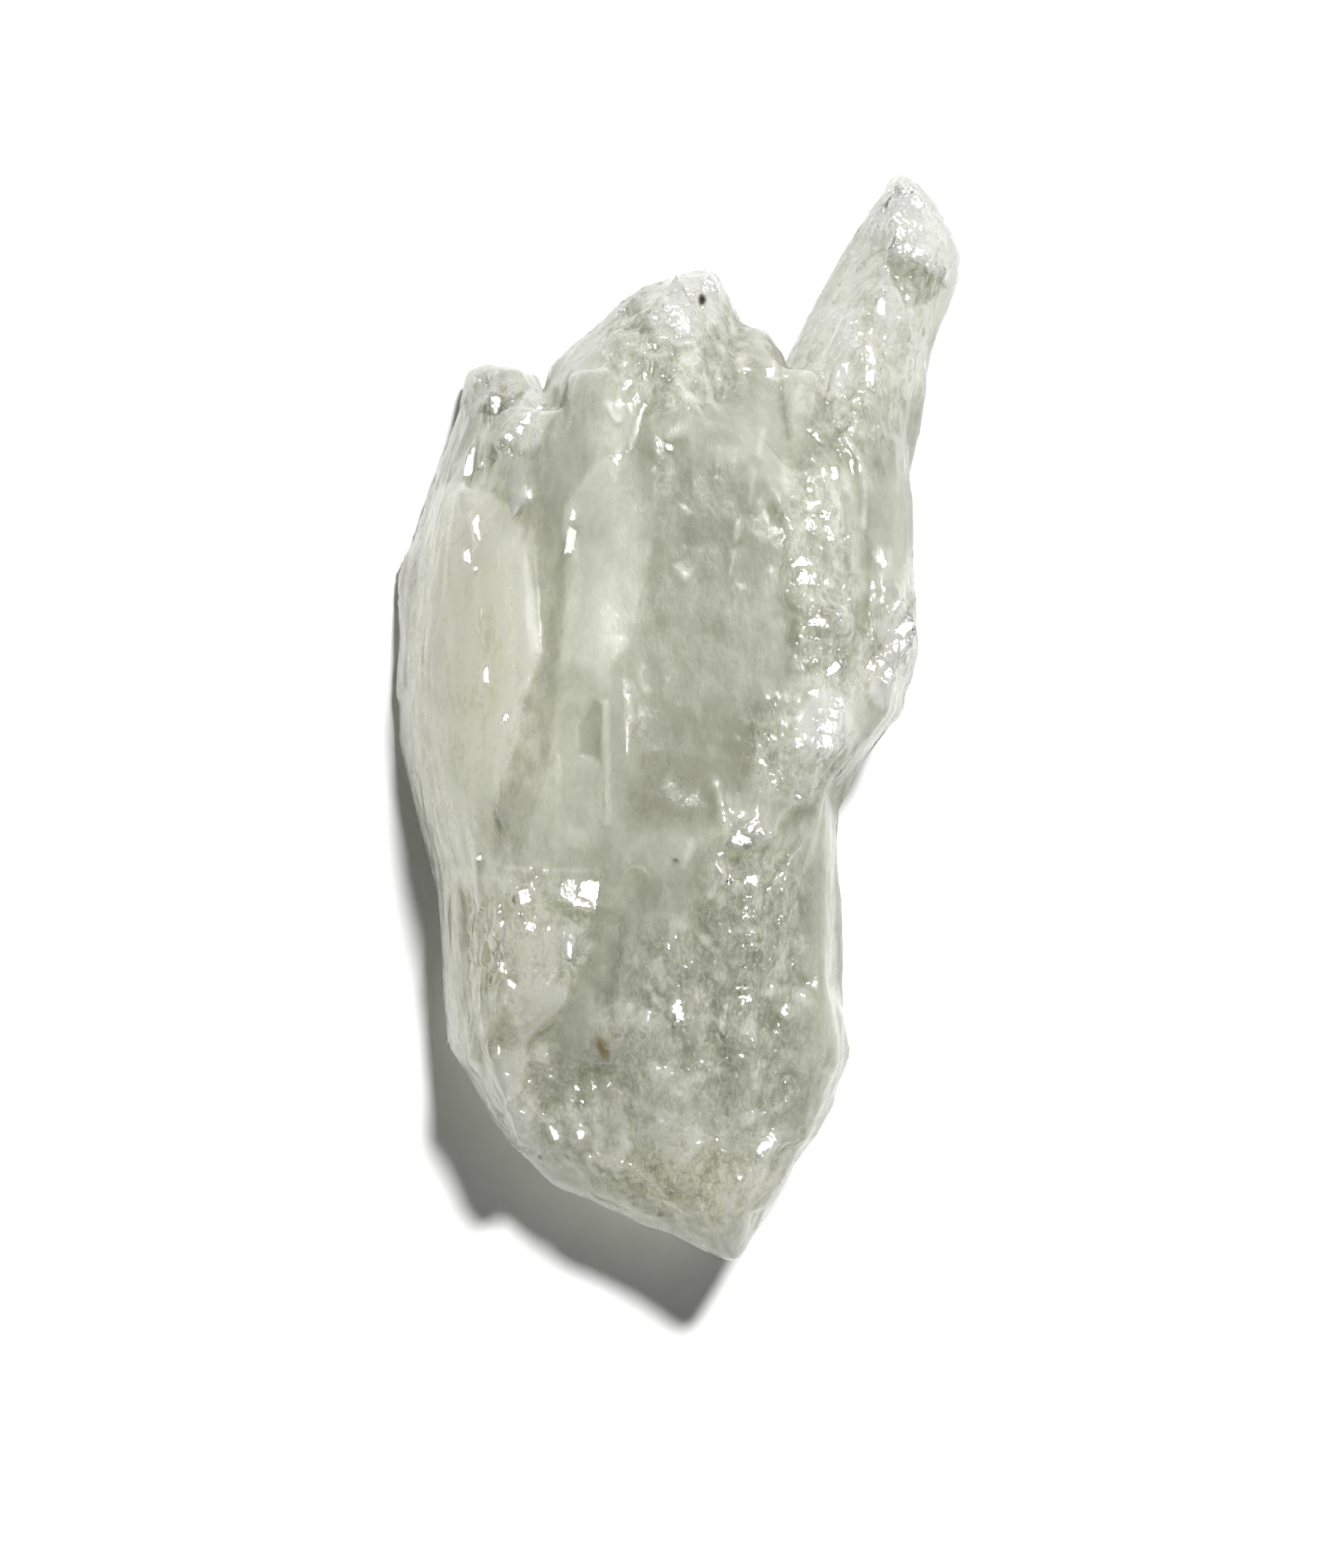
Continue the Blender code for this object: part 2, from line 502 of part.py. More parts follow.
def main():
    """Builds the stone as the one object in the scene."""
    random.seed(SEED)
    for old in list(bpy.data.objects):
        bpy.data.objects.remove(old)
    core, *others = [build_crystal(c) for c in CRYSTALS]
    body = combined(core, others, "UNION")

    tree = search_tree(body)
    body = combined(body, build_slivers(tree), "UNION")

    tree = search_tree(body)
    hollows = [build_furrow(tree, *f) for f in FURROWS] + [build_pit(tree, *p) for p in PITS]
    body = combined(body, hollows, "DIFFERENCE")

    tree = search_tree(body)
    points = [build_growth_point(tree, *p) for p in GROWTH_POINTS]
    for row in GROWTH_ROWS:
        points += build_growth_row(tree, *row)
    for ledge in LEDGES:
        points += build_ledge(tree, *ledge)
    body = combined(body, points, "UNION")
    body = combined(body, [build_rest_slab()], "DIFFERENCE")
    keep_main_shell(body)

    stand_on_origin(body)
    body.name = NODE_NAME
    body.data.name = NODE_NAME
    body.data.transform(Matrix.Scale(MM, 4))
    body.data.materials.clear()
    body.data.materials.append(crystal_material())


main()
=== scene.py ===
"""Looks of a rough prasiolite crystal, lying on its flat side on a pale floor.

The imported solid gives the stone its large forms. Here it is copied, cut into a fine mesh, and given
the relief that quartz grows with: striations along its length, tilted growth faces, steps, creases
and small bright end faces. The quartz is see-through, with a cloudy body and a weak green colour in
its depth. Lengths are in millimetres, and meshes are scaled to metres last.
"""

import logging
import math
import random
from collections.abc import Sequence
from dataclasses import dataclass
from enum import Enum

import bmesh
import bpy
import numpy as np
from mathutils import Matrix, Vector, noise


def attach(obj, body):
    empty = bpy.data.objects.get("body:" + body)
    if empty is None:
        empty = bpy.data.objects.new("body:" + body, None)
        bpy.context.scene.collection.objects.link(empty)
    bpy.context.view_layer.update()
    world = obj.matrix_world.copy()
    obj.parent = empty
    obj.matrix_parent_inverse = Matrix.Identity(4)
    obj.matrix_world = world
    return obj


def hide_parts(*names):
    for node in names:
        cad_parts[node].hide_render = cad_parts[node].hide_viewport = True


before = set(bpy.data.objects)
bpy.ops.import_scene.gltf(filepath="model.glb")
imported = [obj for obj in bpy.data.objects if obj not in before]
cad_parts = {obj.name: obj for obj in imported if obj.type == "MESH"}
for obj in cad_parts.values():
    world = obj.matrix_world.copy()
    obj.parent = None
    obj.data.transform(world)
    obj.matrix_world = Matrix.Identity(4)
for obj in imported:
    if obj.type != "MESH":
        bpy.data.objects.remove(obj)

MM = 0.001
CAD_NODE = "prasiolite_crystal"
LOG = logging.getLogger("prasiolite")

# How far a point has to look upward, as the Z of its normal, to count as the stone's top: from
# where on a little, and over what span it grows to in full.
BROAD_TOP = (0.15, 0.4)
RELIEF_TOP = (0.1, 0.4)
SHARD_TOP = (0.0, 0.7)

# Spreads the seeds of a cell pattern apart, so that neighbours draw unlike numbers.
SEED_SPREAD = 37.0


def along_and_across(points: np.ndarray, x: float, y: float, turn: float) -> tuple[np.ndarray, np.ndarray]:
    """Measures points on the axes of a turned patch.

    Args:
        points: one point a row.
        x, y: the patch's middle.
        turn: degrees clockwise from +Y that its length is turned.

    Returns:
        The distances along the patch's length and across it.
    """
    angle = math.radians(turn)
    dx, dy = points[:, 0] - x, points[:, 1] - y
    along = dx * math.sin(angle) + dy * math.cos(angle)
    across = dx * math.cos(angle) - dy * math.sin(angle)
    return along, across


def path_distance(points: np.ndarray, path: tuple[tuple[float, float], ...]) -> np.ndarray:
    """Measures how far points lie from a path, seen from above.

    Args:
        points: one point a row.
        path: the corners that the path runs through.

    Returns:
        The distance of each point.
    """
    flat = points[:, :2]
    nearest = np.full(len(flat), np.inf)
    for first, last in zip(path, path[1:]):
        start = np.array(first)
        run = np.array(last) - start
        reach = np.clip((flat - start) @ run / (run @ run), 0.0, 1.0)
        away = flat - start - reach[:, None] * run
        nearest = np.minimum(nearest, np.hypot(away[:, 0], away[:, 1]))
    return nearest


def smooth(values: np.ndarray) -> np.ndarray:
    """Returns values cut to 0 and 1, with soft ends."""
    cut = np.clip(values, 0.0, 1.0)
    return cut * cut * (3.0 - 2.0 * cut)


def looks_up(normals: np.ndarray, start_and_span: tuple[float, float]) -> np.ndarray:
    """Works out how far points belong to the stone's top.

    Args:
        normals: one normal a row.
        start_and_span: the Z of a normal from which on a point counts, and the span to in full.

    Returns:
        1 where a point looks upward, 0 where it looks aside or down.
    """
    start, span = start_and_span
    return smooth((normals[:, 2] - start) / span)


@dataclass(frozen=True)
class Patch:
    """A soft-edged oval of the stone, seen from above.

    Args:
        x, y: its middle.
        width, length: its whole size across and along.
        turn: degrees clockwise from +Y that its length is turned.
        softness: the share of its radius over which it fades out.
    """

    x: float
    y: float
    width: float
    length: float
    turn: float = 0.0
    softness: float = 0.5

    def share(self, points: np.ndarray) -> np.ndarray:
        """Works out how far points lie in the patch.

        Args:
            points: one point a row.

        Returns:
            1 in its middle, 0 outside.
        """
        along, across = along_and_across(points, self.x, self.y, self.turn)
        radius = np.hypot(2 * across / self.width, 2 * along / self.length)
        return smooth((1.0 - radius) / self.softness)


# Where the skin is busy with small crystals and ledges.
ROUGH_PARTS = (
    Patch(-8.4, 14.4, 4.0, 3.6),
    Patch(-7.0, 12.6, 2.6, 3.4, 30.0),
    Patch(-0.2, 16.6, 9.0, 8.0, 30.0),
    Patch(10.3, 21.8, 6.4, 9.0, 10.0),
    Patch(8.6, 16.2, 7.4, 11.0, 16.0),
    Patch(6.4, 5.4, 4.4, 16.0, -4.0),
    Patch(9.6, 3.0, 4.6, 8.0, 32.0),
    Patch(5.4, -1.6, 7.0, 6.4, 40.0),
    Patch(3.2, -10.0, 6.4, 14.0),
    Patch(-6.6, -10.2, 8.0, 7.6),
    Patch(-5.6, -17.8, 7.0, 7.0, 50.0),
    Patch(0.8, -16.0, 13.0, 18.0),
)

# Where it is smooth.
CALM_PARTS = (
    Patch(1.2, 4.2, 9.6, 19.0, -4.0, 0.35),
    Patch(-4.4, 4.0, 5.0, 22.0, 0.0, 0.4),
    Patch(-9.6, 1.6, 6.0, 18.0, 0.0, 0.6),
    Patch(-6.0, -3.4, 5.0, 8.0, 0.0, 0.5),
    Patch(-3.9, -12.6, 2.6, 9.0, 20.0, 0.5),
    Patch(9.7, 8.6, 3.0, 6.4, 0.0, 0.5),
)

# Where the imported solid's corners are evened out as well.
EVENED_PARTS = (
    Patch(-7.0, 11.2, 4.4, 7.4, 20.0, 0.6),
    Patch(-11.6, 2.0, 6.0, 26.0, 0.0, 0.5),
    Patch(-6.4, -16.2, 4.4, 4.0, 0.0, 0.6),
)

# Where a bend in the skin would shine as a line, and is etched instead.
MATT_PARTS = (
    Patch(2.0, 12.4, 3.4, 7.0, 66.0, 0.4),
    Patch(-3.0, 12.8, 3.0, 3.0, 0.0, 0.5),
    Patch(3.8, 10.8, 3.4, 4.4, -20.0, 0.5),
    Patch(-6.8, 5.4, 1.6, 9.0, 0.0, 0.5),
)

# Where the milky colour leans to yellow.
WARM_PARTS = (
    Patch(-11.4, 2.4, 16.0, 28.0, 0.0, 0.7),
    Patch(-9.4, -12.0, 11.0, 20.0, 0.0, 0.8),
    Patch(0.0, -21.5, 15.0, 6.0, 0.0, 0.8),
)


@dataclass(frozen=True)
class BroadFace:
    """A part of the top that is drawn towards one broad, gently curved face.

    Args:
        part: where it lies.
        strength: how much of the way the skin is moved.
        slope: the share of the part's own slope and curve that the face keeps.
    """

    part: Patch
    strength: float
    slope: float


# The broad faces of the top, in the order in which they are drawn flatter.
BROAD_FACES = (
    BroadFace(Patch(1.5, 4.4, 10.8, 20.0, -3.0, 0.25), 0.95, 0.15),
    BroadFace(Patch(-9.7, 2.6, 6.4, 18.0, 0.0, 0.6), 0.85, 0.6),
    BroadFace(Patch(-4.0, 12.2, 5.6, 7.6, 0.0, 0.5), 0.85, 0.3),
    BroadFace(Patch(-7.4, 12.2, 4.2, 5.6, 26.0, 0.5), 0.8, 0.5),
    BroadFace(Patch(10.4, 22.8, 3.8, 4.4, 15.0, 0.5), 0.75, 0.4),
    BroadFace(Patch(10.2, 3.1, 2.8, 5.4, 30.0, 0.5), 0.7, 0.4),
    BroadFace(Patch(-4.6, 0.6, 4.6, 13.0, 0.0, 0.5), 0.6, 0.8),
    BroadFace(Patch(-8.8, -10.4, 5.8, 12.0, 0.0, 0.5), 0.7, 0.8),
    BroadFace(Patch(-6.4, -16.2, 4.0, 3.6, 0.0, 0.6), 0.8, 0.8),
    BroadFace(Patch(-8.2, -17.0, 4.8, 8.0, 20.0, 0.6), 0.85, 0.4),
)


@dataclass(frozen=True)
class Zone:
    """A part of the skin with an outline of its own, clearer or cloudier than the rest.

    Args:
        name: what it is; not used by the code.
        outline: its corners, seen from above.
        cloud: how much cloudier it is than the rest, or clearer where it is below 0.
        edge: how wide its edge is.
        rise: how far it stands over its surroundings, or dips where it is below 0.
    """

    name: str
    outline: tuple[tuple[float, float], ...]
    cloud: float
    edge: float = 0.3
    rise: float = 0.0

    def share(self, points: np.ndarray) -> np.ndarray:
        """Works out how far points lie in the zone.

        Args:
            points: one point a row.

        Returns:
            1 inside, 0 outside.
        """
        flat = points[:, :2]
        inside = np.zeros(len(points), dtype=bool)
        for first, last in zip(self.outline, self.outline[1:] + self.outline[:1]):
            between = (flat[:, 1] < first[1]) != (flat[:, 1] < last[1])
            climb = (last[1] - first[1]) or 1.0
            crossing = first[0] + (flat[:, 1] - first[1]) * (last[0] - first[0]) / climb
            inside ^= between & (flat[:, 0] < crossing)
        away = path_distance(points, self.outline + self.outline[:1])
        return smooth(np.where(inside, away, -away) / self.edge + 0.5)


# The parts of the skin that have outlines of their own.
ZONES = (
    # The left lobe and its heart are painted lighter, partly as a glow: light that comes through the stone
    # to the side away from the lamp.
    Zone("left_lobe", ((-14.6, 6.4), (-12.2, 10.8), (-9.4, 10.4), (-7.4, 9.2), (-7.0, 7.4), (-6.6, 5.6),
                       (-6.2, 3.6), (-6.2, 2.4), (-6.9, 0.6), (-7.2, -1.4), (-8.1, -3.2), (-8.4, -6.6),
                       (-12.6, -6.6), (-15.0, 0.0)), 0.4, 0.3, 0.03),
    Zone("left_lobe_heart", ((-12.4, 8.6), (-9.8, 9.4), (-7.4, 8.2), (-6.4, 4.0), (-8.6, 1.6),
                             (-12.0, 2.0)), 0.3, 1.8),
    Zone("left_lobe_dent", ((-10.2, -1.2), (-9.0, -1.4), (-9.2, -3.8), (-10.0, -3.6)), -0.1, 0.5, -0.06),
    Zone("left_shoulder", ((-10.6, 13.6), (-9.0, 13.6), (-7.2, 12.0), (-7.6, 9.2), (-11.0, 9.6)),
         0.04, 0.8),
    Zone("valley", ((-7.1, 9.4), (-6.6, 11.6), (-5.6, 13.4), (-5.2, 15.0), (-3.2, 15.2), (-3.4, 12.8),
                    (-3.8, 11.0), (-5.1, 9.2), (-5.1, 4.0), (-5.5, 0.2), (-5.8, -1.8), (-6.4, -4.0),
                    (-7.0, -6.4), (-8.2, -5.0), (-7.3, -1.4), (-6.9, 0.6), (-6.2, 2.4), (-6.3, 5.0),
                    (-6.9, 7.6)), -0.17, 0.25, -0.04),
    Zone("middle_ridge", ((-5.1, 9.2), (-4.4, 10.4), (-3.6, 11.2), (-1.8, 11.6), (-0.8, 10.6),
                          (-1.0, 8.6), (-1.4, 6.0), (-1.8, 4.4), (-2.1, 2.8), (-3.0, 2.2), (-3.1, -4.0),
                          (-6.3, -4.0), (-5.6, -1.0), (-5.4, 2.2), (-5.0, 5.0)), 0.1, 0.35, 0.07),
    Zone("middle_heart", ((-4.9, 7.6), (-3.4, 7.6), (-2.4, 3.0), (-3.4, 1.6), (-5.2, 2.4)), 0.16, 0.9),
    Zone("pit", ((-3.7, 0.5), (-4.4, -0.6), (-4.4, -1.8), (-3.5, -2.2), (-3.4, 0.3)), -0.24, 0.2, -0.3),
    Zone("step_face", ((-5.6, -3.9), (-3.5, -4.0), (-3.3, -6.0), (-4.2, -6.3), (-5.3, -5.8)),
         0.12, 0.3, 0.06),
    Zone("window", ((-1.9, 12.0), (2.4, 13.0), (4.8, 9.0), (5.2, 2.0), (3.8, -2.4), (1.6, -5.0),
                    (-2.2, -5.4), (-2.8, -2.0), (-2.6, 2.0), (-1.6, 5.6)), -0.25, 1.2),
    Zone("window_top", ((-1.2, 6.4), (-1.6, 12.0), (0.4, 13.4), (3.6, 13.0), (4.6, 8.6), (2.8, 5.6)),
         -0.19, 2.6),
    Zone("window_heart", ((-1.9, 3.4), (-0.9, 5.4), (0.4, 5.9), (1.8, 5.4), (2.8, 3.6), (2.6, 1.2),
                          (1.2, -1.4), (0.2, -2.2), (-1.6, -1.6), (-1.1, 0.8)), -0.1, 1.0),
    Zone("lower_left_lobe", ((-6.6, -7.6), (-4.6, -9.6), (-4.8, -11.4), (-5.0, -13.0), (-5.9, -14.0),
                             (-6.8, -14.8), (-7.0, -16.0), (-7.5, -17.6), (-7.2, -19.2),
                             (-6.2, -20.0), (-8.0, -20.8), (-10.6, -17.6), (-11.6, -14.0),
                             (-12.4, -7.0)), 0.3, 0.25, 0.14),
    Zone("lower_left_tip", ((-7.4, -15.4), (-9.6, -15.8), (-9.6, -18.0), (-7.8, -20.8), (-6.4, -20.0),
                            (-7.2, -18.2)), 0.34, 0.8),
    Zone("lower_left_heart", ((-10.4, -12.0), (-7.8, -11.6), (-7.6, -15.2), (-10.0, -15.4)), -0.28, 0.8),
    Zone("right_ridge_foot", ((4.8, 5.0), (7.2, 4.8), (7.4, 1.8), (5.0, 1.8)), -0.34, 0.8),
    Zone("window_foot", ((-1.6, 0.0), (3.4, 0.6), (3.4, -3.6), (0.6, -5.4), (-2.2, -4.6)), -0.22, 1.2),
    Zone("channel", ((-4.6, -9.4), (-3.6, -8.6), (-2.4, -9.0), (-2.5, -11.0), (-2.8, -13.4),
                     (-2.6, -15.0), (-3.2, -17.6), (-5.6, -18.4), (-7.2, -18.0), (-6.9, -15.0),
                     (-5.9, -14.1), (-5.0, -13.1), (-4.8, -11.0)), -0.1, 0.25, -0.18),
    Zone("lower_right_face", ((4.4, -7.8), (3.6, -9.6), (3.5, -14.0), (4.0, -15.0), (4.8, -12.6),
                              (5.8, -12.0), (6.2, -9.0), (5.4, -7.6)), -0.12, 0.4, 0.08),
    Zone("shaded_strip", ((2.2, -6.6), (3.5, -7.0), (3.4, -12.0), (2.4, -12.4)), -0.14, 0.4),
    Zone("bottom_ledge", ((-7.6, -20.0), (-5.6, -19.8), (-3.9, -20.2), (-1.1, -20.9), (0.6, -21.6),
                          (3.0, -26.0), (-2.0, -24.6), (-8.0, -22.4)), 0.0, 0.25, -0.12),
    Zone("spire", ((5.4, 14.0), (6.6, 19.0), (9.0, 26.0), (14.0, 23.0), (12.6, 17.0), (11.6, 12.6)),
         0.18, 1.6),
    Zone("spire_neck", ((5.2, 11.0), (6.0, 14.6), (8.4, 15.0), (11.4, 14.6), (11.6, 10.6)), -0.36, 1.0),
    Zone("right_flank", ((8.0, 11.0), (11.6, 10.6), (11.4, 6.6), (8.2, 6.6)), -0.2, 0.8),
    Zone("spire_strip", ((6.4, 16.0), (7.6, 20.0), (8.4, 21.0), (8.0, 17.0), (7.2, 14.6)), 0.2, 0.5),
    Zone("spire_shade", ((8.0, 19.4), (9.2, 20.6), (9.0, 17.4), (8.0, 16.0)), -0.12, 0.5),
    Zone("spire_head", ((8.4, 22.4), (9.2, 26.0), (13.4, 24.0), (13.2, 20.4), (12.0, 20.2), (9.8, 21.4)),
         0.24, 0.4),
    Zone("spire_hollow", ((9.5, 20.9), (10.6, 20.7), (11.6, 20.3), (12.3, 19.7), (11.4, 18.8),
                          (10.4, 18.4), (9.8, 19.6)), -0.48, 0.2, -0.3),
    Zone("left_point_hollow", ((-9.1, 13.8), (-8.5, 14.6), (-7.6, 14.3), (-6.8, 14.9), (-7.2, 13.9),
                               (-8.4, 13.5)), -0.6, 0.2, -0.25),
    Zone("left_point_face", ((-8.4, 15.6), (-6.2, 15.8), (-6.4, 14.8), (-8.0, 14.6)), -0.26, 0.3, -0.1),
    Zone("left_point_root", ((-7.8, 14.2), (-6.2, 14.9), (-5.9, 13.0), (-6.6, 11.6), (-7.9, 12.2)),
         0.24, 0.4, 0.1),
    Zone("crown", ((-2.8, 12.6), (-2.6, 18.4), (0.6, 20.8), (4.4, 16.4), (3.4, 13.2), (0.4, 13.0)),
         -0.22, 1.4),
    Zone("crown_tip", ((-1.6, 18.8), (0.6, 20.8), (2.6, 20.4), (2.0, 18.0), (0.8, 16.6), (-1.0, 16.8)),
         0.5, 0.5),
    Zone("small_shard", ((-1.4, -15.6), (-0.5, -15.9), (-0.6, -16.8), (-1.1, -17.5)), 0.2, 0.15, 0.1),
    Zone("right_streak", ((6.4, -16.0), (7.4, -16.2), (7.2, -18.2), (6.4, -18.2)), 0.24, 0.4),
    Zone("flange_face", ((8.6, 0.9), (8.9, 2.4), (10.2, 4.9), (11.4, 4.2), (10.9, 1.6), (9.2, 0.2)),
         0.5, 0.35),
    Zone("flange_root", ((7.4, 2.6), (7.6, 5.0), (8.8, 5.4), (8.9, 3.4), (8.3, 2.0)), -0.14, 0.5, -0.1),
    Zone("right_cloud", ((6.2, 0.9), (7.4, 0.8), (8.2, -1.2), (6.4, -2.2), (5.2, -0.6)), 0.5, 0.5, 0.1),
    Zone("right_ridge", ((5.0, 11.4), (7.6, 12.0), (7.4, 4.4), (7.4, 1.4), (5.6, 1.2), (5.0, 6.0)),
         0.0, 0.7),
    Zone("flange_foot", ((6.0, -2.2), (8.6, -1.0), (10.0, -1.4), (8.0, -6.0), (5.4, -5.0)), -0.28, 0.9),
    Zone("lower_right", ((1.0, -6.0), (5.0, -6.6), (8.6, -5.0), (9.2, -14.0), (7.4, -18.6), (1.6, -18.6),
                         (-1.6, -14.0), (-1.8, -8.0)), -0.24, 1.4),
    Zone("bottom", ((-2.6, -18.4), (2.0, -18.8), (6.0, -19.4), (3.0, -25.0), (-4.0, -22.6)), 0.08, 0.8),
    Zone("low_left_top", ((-11.8, -6.8), (-7.4, -7.0), (-6.8, -10.4), (-11.6, -11.0)), 0.24, 0.7),
)

# Dark specks, which are colour only.
SPECKS = (
    Patch(1.1, 18.8, 0.5, 0.8, 0.0, 0.6),
    Patch(-0.8, 19.6, 0.4, 0.35, 0.0, 0.8),
    Patch(-12.1, 7.0, 0.4, 0.4, 0.0, 0.8),
    Patch(-0.1, -6.7, 0.4, 0.5, 0.0, 0.7),
    Patch(-0.8, -22.8, 0.5, 0.4, 0.0, 0.8),
)

# The brown stain: its core, and the faint halo around it.
STAINS = (
    Patch(-3.4, -15.1, 0.7, 1.6, -24.0, 0.8),
    Patch(-3.3, -14.9, 1.8, 3.0, -10.0, 1.0),
)


class Grain(Enum):
    """The kinds of relief that the stone's skin has."""

    SOFT = "soft"
    RIDGED = "ridged"
    FACES = "faces"


@dataclass(frozen=True)
class Relief:
    """One layer of relief.

    Args:
        grain: the kind of relief.
        size: how long its features are along X, Y and Z.
        height: how far it moves the skin, from its middle.
        offset: where in the noise it starts, so that layers differ.
        calm: the share of the height that is left outside the stone's rough parts.
    """

    grain: Grain
    size: tuple[float, float, float]
    height: float
    offset: float
    calm: float = 1.0

    def value(self, point: Vector) -> float:
        """Works out the relief at one point of the noise.

        Args:
            point: the point.

        Returns:
            How far the skin stands out there, about -0.5 to 0.5.
        """
        if self.grain is Grain.SOFT:
            return noise.noise(point)
        if self.grain is Grain.RIDGED:
            return 0.5 - 2.0 * abs(noise.noise(point))
        seeds = noise.voronoi(point)[1]
        lean = noise.cell_vector(seeds[0] * SEED_SPREAD) - Vector((0.5, 0.5, 0.5))
        return 2.0 * lean.dot(point - seeds[0])

    def at(self, points: np.ndarray, rough: np.ndarray) -> np.ndarray:
        """Works out the layer's movement of the skin.

        Args:
            points: the skin's points, one a row.
            rough: how rough the stone is at each point, from 0 to 1.

        Returns:
            The movement of each point along its normal.
        """
        scaled = points / np.array(self.size) + self.offset
        values = np.array([self.value(Vector(p)) for p in scaled])
        return self.height * values * (self.calm + (1.0 - self.calm) * rough)


@dataclass(frozen=True)
class Shards:
    """Small grown-in crystals, some lighter and some darker than the skin around them.

    Args:
        size: how long they are along X, Y and Z.
        light: how much cloudier the lightest ones are.
        dark: how much clearer the darkest ones are.
        offset: where in the noise they start, so that layers differ.
        rim: how wide the fade at their edges is, as a share of the pattern's cells.
        light_from: the draw, from 0 to 1, above which a cell is a light one.
        dark_to: the draw below which it is a dark one.
        blend: the span of draws over which it becomes so in full.
    """

    size: tuple[float, float, float]
    light: float
    dark: float
    offset: float
    rim: float = 0.25
    light_from: float = 0.6
    dark_to: float = 0.3
    blend: float = 0.3

    def value(self, point: Vector) -> float:
        """Works out the shards at one point of the noise.

        Args:
            point: the point.

        Returns:
            How much cloudier the stone is there, or clearer where it is below 0.
        """
        distances, seeds = noise.voronoi(point)
        pick = noise.cell_vector(seeds[0] * SEED_SPREAD)[0]
        inner = min((distances[1] - distances[0]) / self.rim, 1.0)
        light = min(max((pick - self.light_from) / self.blend, 0.0), 1.0)
        dark = min(max((self.dark_to - pick) / self.blend, 0.0), 1.0)
        return inner * (self.light * light - self.dark * dark)

    def at(self, points: np.ndarray) -> np.ndarray:
        """Works out how much cloudier or clearer the shards make the stone.

        Args:
            points: one point a row.

        Returns:
            The change at each point.
        """
        scaled = points / np.array(self.size) + self.offset
        return np.array([self.value(Vector(p)) for p in scaled])


@dataclass(frozen=True)
class Facet:
    """A small flat growth face that is pressed into the skin.

    Args:
        x, y: its middle.
        width, length: its size across and along.
        turn: degrees clockwise from +Y that its length is turned.
        tilt: degrees from level.
        heading: degrees from +Y towards +X that it leans to.
        lift: how far it stands over the skin.
        edge: how wide its edge is.
        shine: how polished it is, from 0 to 1.
        skew: how far its corners stray, as a share of a right angle.
        least, most: the smallest and largest share of its size from its middle to a side.
    """

    x: float
    y: float
    width: float
    length: float
    turn: float = 0.0
    tilt: float = 17.5
    heading: float = 28.0
    lift: float = 0.0
    edge: float = 0.08
    shine: float = 1.0
    skew: float = 0.22
    least: float = 0.4
    most: float = 0.5

    def share(self, points: np.ndarray) -> np.ndarray:
        """Works out how far points lie in the facet's uneven outline.

        Args:
            points: one point a row.

        Returns:
            1 on the facet, 0 outside it.
        """
        along, across = along_and_across(points, self.x, self.y, self.turn)
        shape = random.Random(f"{self.x:.2f} {self.y:.2f}")
        inside = np.full(len(points), np.inf)
        for quarter in range(4):
            angle = 0.5 * math.pi * (quarter + shape.uniform(-self.skew, self.skew))
            out = across * math.cos(angle) / self.width + along * math.sin(angle) / self.length
            inside = np.minimum(inside, shape.uniform(self.least, self.most) - out)
        return np.clip(inside * min(self.width, self.length) / self.edge + 0.5, 0.0, 1.0)


@dataclass(frozen=True)
class FacetRow:
    """A row of small growth faces from one point to another.

    Args:
        start, end: the middles of the first and last face.
        count: how many faces the row has.
        width, length: the faces' mean size.
        turn: degrees clockwise from +Y that their length is turned.
        scatter: how far a face may lie off the row.
        size_range: the smallest and largest face, as shares of the mean size.
        turn_range: how many degrees a face may be turned off the rest.
        tilt_range, heading_range: between what degrees their tilts and headings lie.
    """

    start: tuple[float, float]
    end: tuple[float, float]
    count: int
    width: float
    length: float
    turn: float = 0.0
    scatter: float = 0.2
    size_range: tuple[float, float] = (0.7, 1.3)
    turn_range: float = 20.0
    tilt_range: tuple[float, float] = (13.0, 22.0)
    heading_range: tuple[float, float] = (14.0, 42.0)

    def facets(self) -> list[Facet]:
        """Draws the faces of the row, in order from its start.

        Returns:
            The faces.
        """
        draw = random.Random(f"{self.start} {self.end}")
        made = []
        for step in range(self.count):
            share = step / max(self.count - 1, 1)
            x = self.start[0] + share * (self.end[0] - self.start[0]) + draw.uniform(-1, 1) * self.scatter
            y = self.start[1] + share * (self.end[1] - self.start[1]) + draw.uniform(-1, 1) * self.scatter
            size = draw.uniform(*self.size_range)
            turn = self.turn + draw.uniform(-self.turn_range, self.turn_range)
            tilt = draw.uniform(*self.tilt_range)
            heading = draw.uniform(*self.heading_range)
            made.append(Facet(x, y, size * self.width, size * self.length, turn, tilt, heading))
        return made


